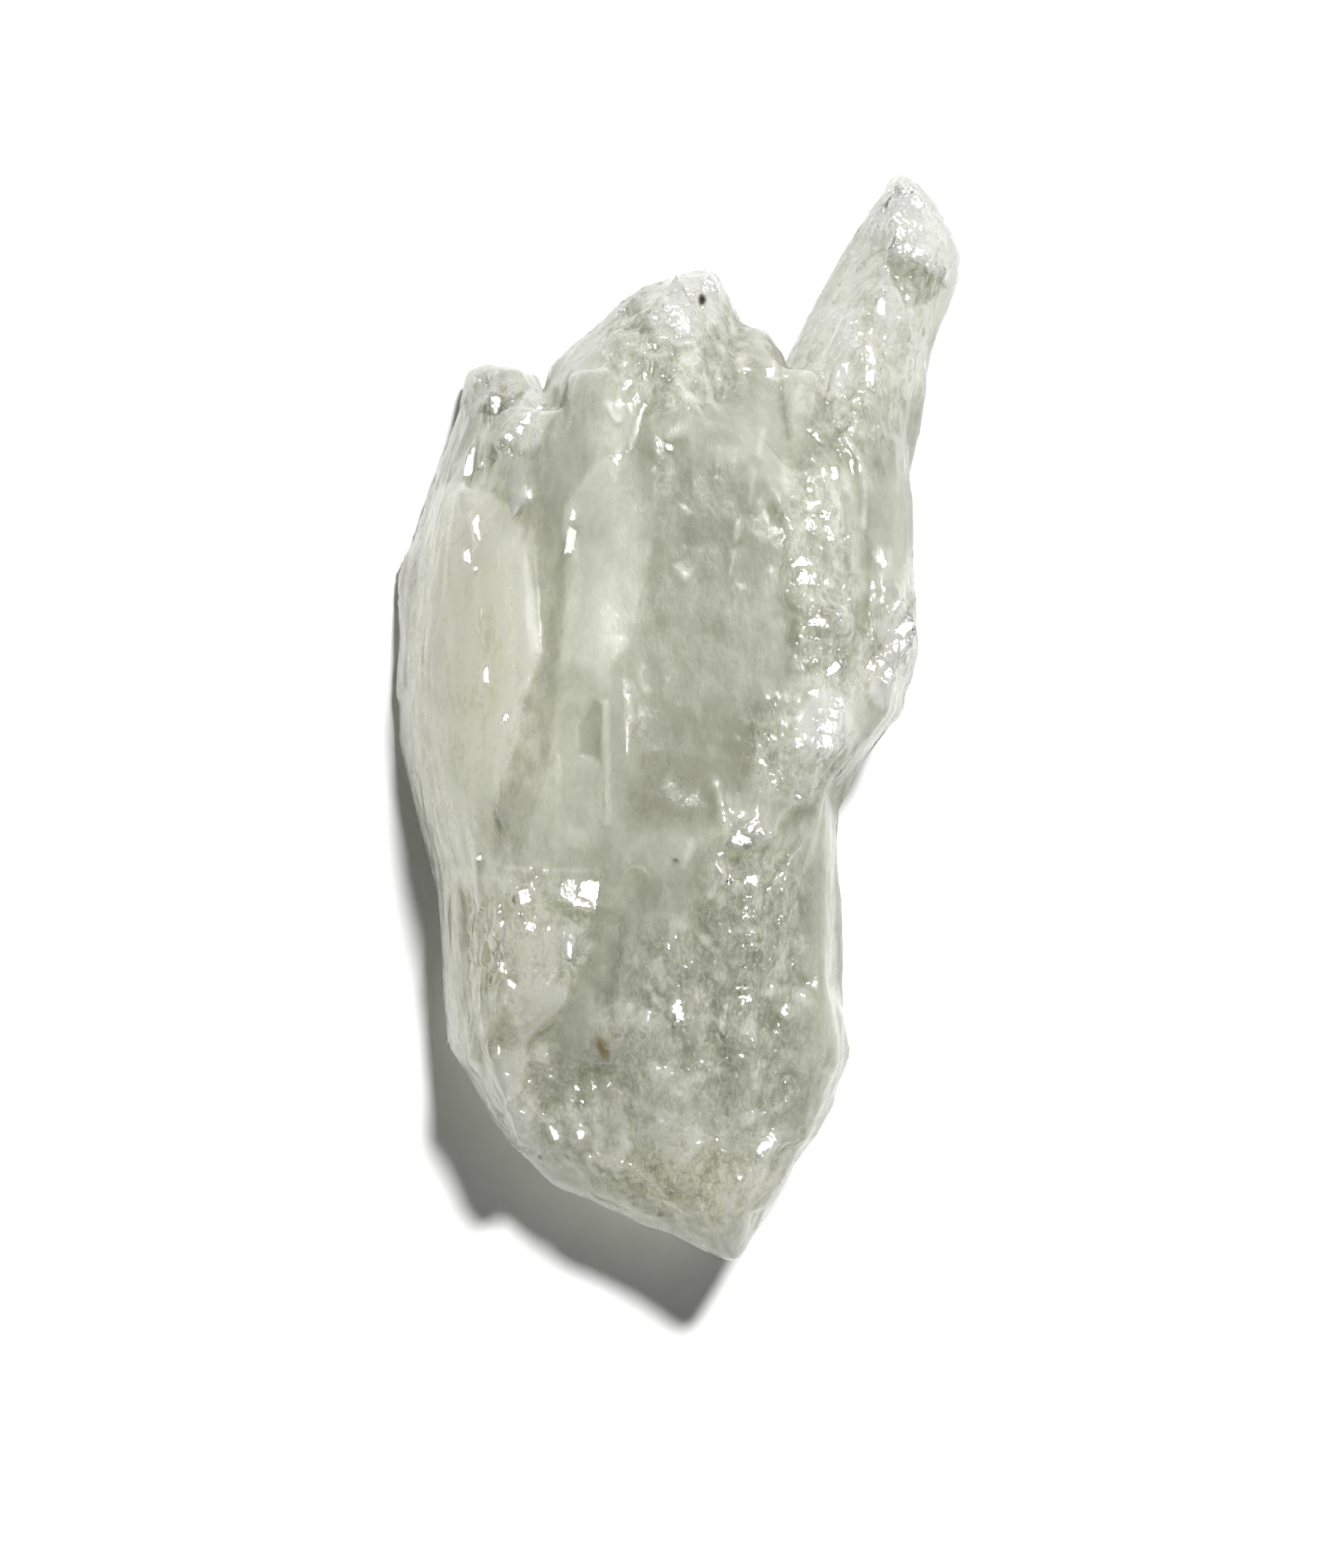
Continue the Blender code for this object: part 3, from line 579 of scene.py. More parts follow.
@dataclass(frozen=True)
class Streak:
    """A ragged line in the skin, such as a crystal's edge, a crease or a thin grown-in blade.

    Args:
        path: the points it runs through.
        width: how wide it is.
        cloud: how much cloudier it is than the rest, or clearer where it is below 0.
        height: how far it stands up, or dips where it is below 0.
        ragged: how much its width varies.
        waver_rate: how often its width varies, per millimetre.
        falloff: how fast it fades with the square of the distance from its line, in widths.
        reach: how many widths from its line it ends.
    """

    path: tuple[tuple[float, float], ...]
    width: float
    cloud: float = 0.3
    height: float = 0.06
    ragged: float = 0.5
    waver_rate: float = 1.9
    falloff: float = 2.8
    reach: float = 1.6

    def share(self, points: np.ndarray) -> np.ndarray:
        """Works out how far points lie in the streak.

        Args:
            points: one point a row.

        Returns:
            1 on its line, 0 away from it.
        """
        corners = np.array(self.path)
        reach = self.reach * self.width
        close = np.all(points[:, :2] > corners.min(axis=0) - reach, axis=1)
        close &= np.all(points[:, :2] < corners.max(axis=0) + reach, axis=1)
        chosen = np.flatnonzero(close)
        share = np.zeros(len(points))
        away = path_distance(points[chosen], self.path) / self.width
        waver = np.array([noise.noise(Vector(point) * self.waver_rate) for point in points[chosen]])
        share[chosen] = np.exp(-self.falloff * np.maximum(away + self.ragged * waver, 0.0) ** 2)
        return share


# The small end faces that flash. A mirror for the lamp is tilted 17.5 degrees towards 28 degrees.
GROWTH_FACES: tuple[Facet | FacetRow, ...] = (
    # Left point and the chain that runs down from it.
    Facet(-8.25, 14.1, 0.65, 1.1, -35.0),
    Facet(-9.0, 15.4, 0.6, 0.5, tilt=23.0),
    Facet(-9.5, 11.4, 0.6, 2.0, 6.0),
    Facet(-9.1, 8.4, 0.4, 1.4, -6.0),
    Facet(-9.5, 7.1, 0.45, 0.8),
    Facet(-9.1, 6.5, 0.3, 0.35, tilt=21.0),
    FacetRow((-7.5, 12.6), (-6.4, 13.9), 5, 0.4, 0.6, 40.0),
    FacetRow((-8.7, 11.4), (-8.0, 12.1), 2, 0.45, 0.6, 40.0, 0.1),
    Facet(-4.8, 7.7, 0.5, 1.5, 14.0, tilt=20.0, shine=0.0),
    Facet(-4.9, 7.2, 0.3, 0.3, 14.0),
    Facet(-4.7, 8.8, 0.3, 0.8, 20.0, tilt=24.0, shine=0.0),
    Facet(-8.65, 1.7, 0.35, 0.9, tilt=18.5),
    Facet(-7.7, -0.2, 0.35, 0.45),
    # Crown.
    Facet(0.15, 17.6, 1.1, 1.9, -16.0, tilt=20.8, shine=0.5),
    Facet(-0.95, 17.9, 0.5, 0.5, tilt=22.0),
    Facet(1.5, 19.6, 0.9, 1.0, tilt=20.0),
    Facet(0.6, 19.1, 0.6, 0.5, tilt=22.0),
    Facet(-2.9, 16.1, 0.5, 0.7, tilt=23.0),
    Facet(-2.6, 18.1, 0.4, 0.5, tilt=23.0),
    Facet(4.2, 15.4, 0.55, 0.7),
    Facet(-2.9, 13.4, 0.35, 0.9, -20.0, tilt=24.0, shine=0.0),
    Facet(-0.4, 11.8, 0.4, 0.45),
    # Spire.
    Facet(10.4, 23.9, 1.1, 0.7, tilt=19.0),
    Facet(10.9, 23.4, 0.9, 0.6, 40.0),
    Facet(10.1, 22.6, 0.8, 0.5, 70.0),
    Facet(10.1, 21.8, 0.6, 0.9, 20.0),
    FacetRow((10.1, 21.2), (12.0, 20.35), 5, 0.75, 0.55, 25.0, 0.08),
    Facet(9.2, 18.5, 0.5, 1.2, -4.0),
    Facet(8.7, 16.2, 0.5, 1.3, -6.0),
    Facet(8.7, 15.2, 0.7, 1.1, 6.0, tilt=19.0),
    Facet(8.2, 14.4, 0.4, 0.6, 20.0, tilt=21.0),
    # Right ridge.
    Facet(7.0, 10.8, 0.5, 0.8),
    Facet(5.9, 8.4, 0.65, 0.65),
    Facet(6.7, 8.8, 0.6, 0.6),
    Facet(6.75, 8.0, 0.45, 0.9, -10.0),
    Facet(5.6, 6.7, 1.1, 0.55, 0.0),
    Facet(5.8, 6.0, 1.1, 0.7, 10.0, tilt=19.0),
    Facet(6.3, 4.0, 1.2, 0.6, 5.0),
    Facet(7.2, 4.3, 0.35, 0.5, tilt=21.0),
    Facet(7.0, 2.0, 0.5, 1.3, 62.0),
    Facet(6.1, 2.3, 0.4, 0.3, tilt=21.0),
    Facet(7.8, 12.0, 0.25, 0.9, -35.0, tilt=20.0),
    Facet(9.3, 6.7, 0.35, 0.45),
    # Flange and the chain that runs down from it.
    Facet(10.2, 3.8, 0.7, 1.2, 35.0),
    Facet(10.0, 2.9, 0.4, 0.6, 30.0, tilt=20.0),
    FacetRow((9.9, 3.2), (9.0, 2.0), 3, 0.65, 0.8, 40.0),
    Facet(9.4, 1.7, 0.5, 0.9, 36.0, tilt=20.0),
    Facet(9.9, 4.9, 0.35, 0.8, 36.0),
    FacetRow((7.0, 0.4), (6.6, -1.2), 4, 0.8, 0.7),
    FacetRow((3.9, -2.3), (4.5, -3.6), 4, 0.6, 0.3, 24.0, 0.12),
    Facet(2.05, -4.7, 0.25, 0.8, -8.0, tilt=20.0),
    Facet(2.9, -5.7, 1.0, 0.9, 20.0),
    Facet(3.3, -5.1, 0.4, 0.9, 40.0),
    Facet(3.7, -5.3, 0.25, 0.6, -40.0),
    Facet(2.35, -7.5, 0.36, 0.8),
    Facet(3.3, -7.5, 0.85, 0.6),
    FacetRow((3.1, -8.35), (3.15, -11.3), 5, 0.8, 0.34, 0.0, 0.1),
    Facet(2.85, -12.3, 0.8, 0.3),
    Facet(3.0, -12.8, 0.8, 0.45, tilt=21.0),
    Facet(4.6, -9.4, 0.35, 0.35, tilt=21.0),
    Facet(4.78, -13.5, 0.35, 0.35),
    Facet(1.3, -10.3, 0.2, 0.7, -40.0),
    Facet(-0.45, -10.5, 0.35, 0.4, tilt=20.0),
    # Lower middle and lower left.
    Facet(0.0, -13.4, 0.65, 1.3, -14.0),
    Facet(-4.05, -8.1, 1.1, 1.6, 6.0),
    Facet(-4.95, -7.9, 0.8, 1.1, 10.0, tilt=22.5, shine=0.5),
    Facet(-5.93, -7.05, 0.35, 0.3),
    Facet(-6.9, -8.2, 0.6, 0.9, -20.0),
    Facet(-7.05, -9.1, 0.35, 0.4),
    Facet(-6.6, -9.6, 0.6, 0.55, tilt=20.0),
    Facet(-5.8, -9.65, 0.3, 0.25),
    Facet(-4.87, -10.6, 0.36, 1.1),
    Facet(-8.95, -6.5, 0.3, 0.4, tilt=21.0),
    Facet(-7.85, -11.5, 0.36, 0.9, -20.0),
    Facet(-7.5, -12.2, 0.36, 0.8, -45.0),
    Facet(-8.1, -15.25, 0.25, 0.7, tilt=20.0),
    Facet(-5.65, -19.0, 0.4, 1.1, -35.0),
    Facet(-4.4, -19.1, 0.5, 0.6),
    Facet(-3.85, -16.8, 0.25, 0.9, -8.0, tilt=20.0),
    Facet(-4.6, -17.0, 0.35, 0.35, tilt=21.0),
    FacetRow((-3.9, -20.1), (-1.7, -20.7), 4, 0.5, 0.32, 0.0, 0.06),
    # Tip.
    Facet(4.0, -19.5, 0.55, 1.5, 40.0),
    Facet(2.82, -21.0, 0.35, 0.4),
    Facet(3.55, -20.5, 0.25, 0.5, 30.0, tilt=21.0),
)


def growth_faces() -> list[Facet]:
    """Gathers all the growth faces, those of the rows among them.

    Returns:
        The faces, in the order of the list.
    """
    made = []
    for entry in GROWTH_FACES:
        made += entry.facets() if isinstance(entry, FacetRow) else [entry]
    return made


def strongest(parts: Sequence[Patch | Facet], points: np.ndarray) -> np.ndarray:
    """Works out how far points lie in any of some parts.

    Args:
        parts: the parts.
        points: one point a row.

    Returns:
        1 in one of them, 0 outside all.
    """
    return np.max([part.share(points) for part in parts], axis=0)


def rough_and_calm(points: np.ndarray) -> tuple[np.ndarray, np.ndarray]:
    """Works out how far points lie in the rough and in the smooth parts.

    Args:
        points: one point a row.

    Returns:
        Both shares, from 0 to 1. Where two such parts meet, the rough one comes first.
    """
    rough = strongest(ROUGH_PARTS, points)
    return rough, strongest(CALM_PARTS, points) * (1.0 - rough)


# The lines in the skin.
STREAKS = (
    # Left point, shoulder and left lobe.
    Streak(((-9.2, 14.2), (-8.75, 14.6)), 0.2, 0.5),
    Streak(((-6.0, 14.6), (-4.7, 15.7)), 0.28, 0.3, 0.12),
    Streak(((-8.9, 13.4), (-8.8, 12.4)), 0.25, 0.2),
    Streak(((-7.6, 11.6), (-7.9, 10.2)), 0.35, 0.25),
    Streak(((-8.7, 11.2), (-8.8, 10.4)), 0.22, 0.35),
    Streak(((-11.2, 11.4), (-11.7, 8.6)), 0.3, -0.12, -0.04),
    Streak(((-9.2, 9.6), (-9.0, 7.6), (-9.6, 6.2)), 0.3, 0.2, 0.08),
    Streak(((-6.9, 7.4), (-6.7, 5.4)), 0.35, 0.2, 0.05),
    Streak(((-11.6, 6.4), (-11.9, 3.0)), 0.4, -0.08, -0.04),
    Streak(((-8.5, 2.2), (-8.7, 1.0)), 0.3, 0.25),
    Streak(((-8.0, -2.0), (-8.4, -4.8)), 0.4, 0.1, 0.05),
    # Middle ridge.
    Streak(((-4.6, 9.3), (-4.9, 8.5), (-4.6, 6.8)), 0.35, 0.25, 0.08),
    Streak(((-6.0, 12.6), (-6.2, 11.4)), 0.25, 0.12),
    Streak(((-5.4, 11.8), (-5.0, 10.6), (-4.4, 9.9)), 0.25, 0.1),
    Streak(((-3.3, 0.4), (-3.15, -1.6), (-3.1, -4.9)), 0.26, 0.3, 0.14, 0.2),
    Streak(((-5.4, -2.0), (-5.5, -6.6)), 0.3, 0.12, 0.08, 0.3),
    Streak(((-2.6, 3.2), (-2.9, 2.4)), 0.3, 0.2),
    Streak(((-1.7, 1.9), (-1.5, 0.9)), 0.3, 0.25, 0.08),
    Streak(((-2.2, 0.6), (-2.0, -0.4)), 0.25, 0.2),
    Streak(((-0.5, 1.4), (-0.6, 0.6)), 0.2, 0.2),
    Streak(((-7.7, -6.97), (-6.7, -7.05)), 0.2, 0.4, 0.08, 0.2),
    Streak(((-5.9, -7.05), (-3.6, -7.15)), 0.24, 0.2, 0.08),
    Streak(((-4.9, -5.3), (-4.2, -5.6)), 0.5, 0.2, 0.05),
    # Crown and its web.
    Streak(((-2.65, 18.3), (-2.6, 17.9)), 0.35, 0.4),
    Streak(((-3.1, 16.4), (-2.8, 15.8)), 0.4, 0.4),
    Streak(((-2.4, 16.7), (-1.1, 15.9)), 0.24, 0.3),
    Streak(((-2.5, 15.7), (-2.4, 14.6), (-2.9, 13.6)), 0.24, 0.25),
    Streak(((-3.1, 13.8), (-2.7, 13.0)), 0.36, 0.4, 0.1),
    Streak(((-1.4, 18.2), (-0.9, 17.4), (-0.4, 17.0)), 0.26, 0.4),
    Streak(((0.2, 15.6), (1.3, 16.8), (2.0, 16.5), (2.3, 15.3)), 0.26, 0.28),
    Streak(((-1.0, 16.0), (-0.2, 15.2), (0.4, 14.2)), 0.26, 0.22),
    Streak(((0.3, 14.3), (1.6, 13.8)), 0.36, 0.25),
    Streak(((2.45, 18.6), (2.55, 17.2)), 0.28, 0.4),
    Streak(((2.9, 16.0), (3.0, 14.6)), 0.26, 0.2),
    Streak(((4.5, 16.1), (4.3, 15.2)), 0.3, 0.35),
    Streak(((3.9, 12.8), (3.6, 11.6)), 0.22, 0.35, 0.05, 0.2),
    Streak(((1.8, 11.9), (1.7, 10.4)), 0.24, 0.16),
    Streak(((2.65, 8.4), (2.55, 7.6)), 0.22, 0.32),
    Streak(((2.4, 7.0), (2.3, 6.0)), 0.22, 0.14),
    Streak(((0.0, 6.3), (0.3, 6.1)), 0.4, 0.25),
    Streak(((0.2, 9.1), (0.35, 8.9)), 0.3, 0.18),
    Streak(((3.3, 10.2), (3.2, 9.2)), 0.24, 0.16),
    Streak(((4.1, 6.3), (4.2, 6.0)), 0.26, 0.2),
    Streak(((4.7, 11.2), (4.8, 9.8)), 0.3, 0.24),
    # Spire.
    # These two streaks follow the spire head's line of glints: their cloudiness is a painted highlight,
    # their height is relief.
    Streak(((10.3, 24.1), (11.0, 23.6), (10.0, 22.8), (10.2, 21.8), (9.9, 21.3)), 0.34, 0.5, 0.1),
    Streak(((9.97, 21.25), (11.1, 20.65), (12.2, 20.15)), 0.36, 0.6, 0.26, 0.3),
    Streak(((9.7, 23.9), (8.9, 22.2), (8.5, 20.6)), 0.3, 0.2, 0.08),
    Streak(((9.1, 22.4), (9.2, 20.2)), 0.4, 0.25),
    Streak(((12.4, 23.0), (12.9, 21.4)), 0.4, 0.2),
    Streak(((7.3, 15.7), (6.8, 14.3)), 0.3, 0.35),
    Streak(((9.7, 17.1), (9.4, 16.4)), 0.28, 0.3),
    Streak(((7.4, 19.6), (6.6, 17.4)), 0.3, 0.18),
    Streak(((11.2, 17.4), (10.6, 14.6)), 0.6, 0.14),
    Streak(((5.9, 12.6), (6.5, 12.0)), 0.22, -0.2, -0.08, 0.2),
    Streak(((7.5, 12.5), (8.2, 11.4), (8.4, 10.0), (8.3, 8.4)), 0.24, 0.34, 0.14, 0.3),
    Streak(((4.65, 14.9), (4.8, 13.6), (5.0, 12.4)), 0.26, -0.22, -0.14, 0.2),
    Streak(((5.2, 14.6), (5.5, 12.2), (4.9, 10.4)), 0.4, 0.14, 0.05),
    Streak(((10.0, 11.7), (9.95, 10.2)), 0.3, 0.16),
    # Right ridge and flange.
    Streak(((7.5, 11.3), (7.6, 10.1)), 0.24, 0.3),
    Streak(((5.4, 9.6), (5.2, 7.4)), 0.3, 0.14),
    Streak(((7.4, 9.6), (7.5, 6.4), (7.8, 4.6)), 0.3, -0.16, -0.1, 0.3),
    Streak(((5.7, 5.0), (6.6, 4.9)), 0.24, 0.2),
    Streak(((5.6, 3.2), (6.8, 3.1)), 0.24, 0.24),
    Streak(((9.5, 7.2), (9.1, 5.8)), 0.4, 0.3),
    Streak(((8.8, 5.6), (8.75, 4.4)), 0.26, 0.35, 0.1),
    Streak(((8.6, 3.7), (8.0, 2.2)), 0.26, 0.25, 0.1),
    Streak(((9.2, 3.9), (10.9, 6.6)), 0.3, 0.3, 0.12, 0.2),
    Streak(((9.9, 3.9), (11.1, 5.6)), 0.24, -0.3, -0.14, 0.2),
    Streak(((11.1, 4.6), (10.9, 2.2), (9.6, 0.4)), 0.34, 0.2, 0.08),
    Streak(((5.4, -0.4), (6.4, 1.0)), 0.3, 0.3),
    Streak(((6.8, -1.8), (5.6, -3.4)), 0.36, 0.24, 0.08),
    Streak(((5.6, -2.4), (4.5, -4.8)), 0.3, 0.2, 0.06),
    # Lower right.
    Streak(((1.75, -3.3), (2.0, -4.6), (2.15, -5.2)), 0.32, 0.4, 0.1, 0.2),
    Streak(((5.4, -5.8), (4.6, -6.9), (3.9, -8.2), (3.55, -9.8)), 0.24, -0.2, -0.16, 0.2),
    Streak(((6.1, -4.8), (5.8, -5.6)), 0.26, 0.26),
    Streak(((4.6, -6.3), (4.2, -6.9)), 0.24, 0.26),
    Streak(((0.5, -5.9), (0.3, -6.9)), 0.28, 0.35),
    Streak(((1.6, -7.8), (1.4, -8.2)), 0.24, 0.3),
    Streak(((1.1, -10.1), (1.8, -10.8)), 0.24, 0.4),
    Streak(((-0.2, -9.4), (-0.6, -10.8), (-1.3, -11.6)), 0.3, 0.25),
    Streak(((-1.4, -12.2), (-0.8, -13.2)), 0.26, 0.4, 0.1),
    Streak(((-2.5, -12.2), (-2.2, -13.2)), 0.28, 0.25),
    Streak(((2.6, -9.8), (3.6, -9.7)), 0.2, 0.25),
    Streak(((4.9, -10.2), (4.3, -11.8), (4.4, -12.8)), 0.5, 0.25, 0.08),
    Streak(((5.6, -10.2), (5.8, -11.6)), 0.3, 0.2),
    Streak(((5.5, -12.6), (5.8, -13.0)), 0.3, 0.3),
    Streak(((3.9, -14.0), (4.1, -15.0)), 0.3, 0.25),
    Streak(((1.55, -15.8), (1.8, -16.2)), 0.28, 0.25),
    Streak(((6.6, -16.2), (7.1, -16.8), (6.6, -18.2)), 0.3, 0.3, 0.1),
    Streak(((2.4, -14.6), (2.2, -18.0)), 0.3, -0.1, -0.08),
    Streak(((0.4, -14.6), (0.0, -17.0)), 0.26, -0.1, -0.08),
    Streak(((4.4, -15.6), (4.6, -18.6)), 0.4, 0.12, 0.08),
    # Bottom.
    Streak(((-0.4, -15.7), (-0.5, -16.2)), 0.24, 0.35),
    Streak(((0.1, -17.1), (0.3, -17.3)), 0.28, 0.3),
    Streak(((-0.9, -18.3), (-0.7, -18.9)), 0.26, 0.35),
    Streak(((0.5, -19.4), (0.4, -20.2), (-0.2, -20.6)), 0.3, 0.4, 0.08),
    Streak(((-0.2, -18.0), (0.3, -18.4)), 0.24, 0.25),
    Streak(((-4.0, -18.0), (-3.5, -19.2), (-3.8, -20.0)), 0.26, 0.4, 0.08),
    Streak(((-4.6, -16.8), (-4.8, -18.2), (-4.2, -19.0)), 0.3, 0.3, 0.08),
    Streak(((-3.97, -16.3), (-3.75, -17.5)), 0.24, 0.45),
    Streak(((-7.2, -17.0), (-6.4, -18.0), (-6.0, -18.6), (-5.3, -19.5)), 0.26, 0.35, 0.1),
    Streak(((-7.4, -19.9), (-5.6, -19.8)), 0.26, 0.25, 0.14, 0.2),
    Streak(((-3.97, -20.1), (-1.7, -20.7), (-1.1, -21.3), (-0.2, -22.3)), 0.28, 0.35, 0.14, 0.3),
    Streak(((2.3, -22.2), (2.6, -22.7)), 0.34, 0.35),
    Streak(((1.2, -23.4), (2.0, -23.5)), 0.26, 0.25),
    Streak(((4.4, -19.0), (3.5, -20.6), (3.3, -21.6)), 0.34, 0.3, 0.1),
    # Lower left lobe and its edge.
    Streak(((-4.6, -9.7), (-4.85, -11.3), (-5.1, -12.8), (-6.1, -13.8), (-6.9, -14.6)), 0.26, 0.2, 0.08),
    Streak(((-7.1, -13.4), (-6.95, -15.0)), 0.34, 0.25),
    Streak(((-6.85, -15.4), (-7.2, -16.9)), 0.24, 0.2),
    Streak(((-8.1, -11.0), (-7.75, -11.8), (-7.3, -12.4)), 0.24, 0.3, 0.08),
    Streak(((-8.3, -15.0), (-7.9, -16.2), (-7.6, -17.8)), 0.3, 0.35, 0.08),
    Streak(((-9.6, -9.6), (-9.9, -12.4)), 0.4, 0.12, 0.06),
    Streak(((-8.4, -9.8), (-8.3, -10.2)), 0.26, 0.3),
    Streak(((-9.2, -8.3), (-9.0, -8.8)), 0.26, 0.25),
    Streak(((-9.1, -6.4), (-8.2, -6.7)), 0.24, 0.3),
    Streak(((-10.2, -7.4), (-9.5, -7.3)), 0.26, 0.35),
    Streak(((-8.1, -18.4), (-8.0, -19.2)), 0.3, 0.2),
    Streak(((-6.8, -9.9), (-6.2, -10.6)), 0.3, 0.25),
    Streak(((-10.4, -9.2), (-10.7, -14.6), (-9.8, -17.0)), 0.5, 0.14, 0.0),
)

# The small grown-in crystals, in layers of different sizes.
SHARDS = (
    Shards((1.4, 2.6, 1.4), 0.16, 0.12, 12.5),
    Shards((0.6, 1.1, 0.6), 0.32, 0.14, 44.1),
    Shards((0.9, 0.4, 0.6), 0.20, 0.10, 71.9),
)


def put_in_scene(name: str, data: bpy.types.ID) -> bpy.types.Object:
    """Makes an object and puts it in the scene.

    Args:
        name: the object's name.
        data: its mesh, lamp or camera.

    Returns:
        The object.
    """
    made = bpy.data.objects.new(name, data)
    bpy.context.scene.collection.objects.link(made)
    return made


def opaque(colour: tuple[float, float, float]) -> tuple[float, float, float, float]:
    """Returns a colour as the shader nodes take it."""
    return (*colour, 1.0)


class NodeGraph:
    """Short ways to add nodes to a material, a node group or a sky."""

    def __init__(self, tree: bpy.types.NodeTree) -> None:
        """Takes the tree that the nodes go in."""
        self.tree = tree

    def add(self, kind: str, **settings: object) -> bpy.types.Node:
        """Adds a node.

        Args:
            kind: the node's type.
            settings: its own properties, such as operation.

        Returns:
            The node.
        """
        node = self.tree.nodes.new(kind)
        for name, value in settings.items():
            setattr(node, name, value)
        return node

    def feed(self, node: bpy.types.Node, **sources: object) -> bpy.types.Node:
        """Links or sets a node's inputs.

        Args:
            node: the node.
            sources: for each input, by its name with _ for a space, a socket or a value.

        Returns:
            The same node.
        """
        for name, source in sources.items():
            socket = node.inputs[name.replace("_", " ")]
            if isinstance(source, bpy.types.NodeSocket):
                self.tree.links.new(source, socket)
            else:
                socket.default_value = source
        return node

    def math(self, operation: str, *sources: object) -> bpy.types.NodeSocket:
        """Adds a calculation.

        Args:
            operation: what it works out.
            sources: sockets or numbers.

        Returns:
            The result's socket.
        """
        node = self.add("ShaderNodeMath", operation=operation)
        for socket, source in zip(node.inputs, sources):
            if isinstance(source, bpy.types.NodeSocket):
                self.tree.links.new(source, socket)
            else:
                socket.default_value = source
        return node.outputs["Value"]

    def mix_colour(self, share: object, first: object, second: object) -> bpy.types.NodeSocket:
        """Adds a mix of two colours.

        Args:
            share: how much of the second colour, a socket or a number.
            first, second: sockets or colours.

        Returns:
            The result's socket.
        """
        node = self.feed(self.add("ShaderNodeMixRGB"), Fac=share, Color1=first, Color2=second)
        return node.outputs["Color"]

    def attribute(self, name: str) -> bpy.types.NodeSocket:
        """Returns the socket of a number that is written on the mesh."""
        return self.add("ShaderNodeAttribute", attribute_name=name).outputs["Fac"]

    def place(self) -> bpy.types.NodeSocket:
        """Returns the socket of the place on the object."""
        return self.add("ShaderNodeTexCoord").outputs["Object"]

    def group(self, group: bpy.types.NodeTree, **sources: object) -> bpy.types.Node:
        """Places a node group.

        Args:
            group: the group.
            sources: what its inputs get.

        Returns:
            The group's node.
        """
        node = self.add("ShaderNodeGroup", node_tree=group)
        return self.feed(node, **sources)


@dataclass(frozen=True)
class Wisps:
    """The values that the soft clouds have in one place.

    Args:
        size: how long they are along X, Y and Z, in metres.
        bend: how far they are bent.
        low, high: between what levels of the noise they go from 0 to 1.
    """

    size: tuple[float, float, float]
    bend: float
    low: float
    high: float


@dataclass(frozen=True)
class WispGroup:
    """Drawn-out soft clouds, such as a stone's veils or a sheet's fibres.

    Args:
        name: the node group's name.
        detail: how many finer layers of noise they have.
        fineness: how strong each finer layer is.
    """

    name: str = "soft_wisps"
    detail: float = 2.0
    fineness: float = 0.6

    def tree(self) -> bpy.types.NodeTree:
        """Builds the node group, or finds it where it is there already.

        Returns:
            The group.
        """
        if self.name in bpy.data.node_groups:
            return bpy.data.node_groups[self.name]
        tree = bpy.data.node_groups.new(self.name, "ShaderNodeTree")
        for socket, kind in (("Place", "NodeSocketVector"), ("Size", "NodeSocketVector"),
                             ("Bend", "NodeSocketFloat"), ("Low", "NodeSocketFloat"),
                             ("High", "NodeSocketFloat")):
            tree.interface.new_socket(socket, in_out="INPUT", socket_type=kind)
        tree.interface.new_socket("Share", in_out="OUTPUT", socket_type="NodeSocketFloat")
        graph = NodeGraph(tree)
        given = graph.add("NodeGroupInput").outputs
        scaled = graph.add("ShaderNodeVectorMath", operation="DIVIDE")
        tree.links.new(given["Place"], scaled.inputs[0])
        tree.links.new(given["Size"], scaled.inputs[1])
        clouds = graph.feed(graph.add("ShaderNodeTexNoise"), Vector=scaled.outputs["Vector"], Scale=1.0,
                            Detail=self.detail, Roughness=self.fineness, Distortion=given["Bend"])
        span = graph.add("ShaderNodeMapRange", interpolation_type="SMOOTHSTEP")
        graph.feed(span, Value=clouds.outputs["Fac"], From_Min=given["Low"], From_Max=given["High"])
        result = graph.add("NodeGroupOutput")
        tree.links.new(span.outputs["Result"], result.inputs["Share"])
        return tree

    def place(self, graph: NodeGraph, wisps: Wisps) -> bpy.types.NodeSocket:
        """Places the group in a material.

        Args:
            graph: the material's nodes.
            wisps: the values that it gets there.

        Returns:
            The socket of how far a point lies in a cloud, from 0 to 1.
        """
        node = graph.group(self.tree(), Place=graph.place(), Size=wisps.size, Bend=wisps.bend,
                           Low=wisps.low, High=wisps.high)
        return node.outputs["Share"]


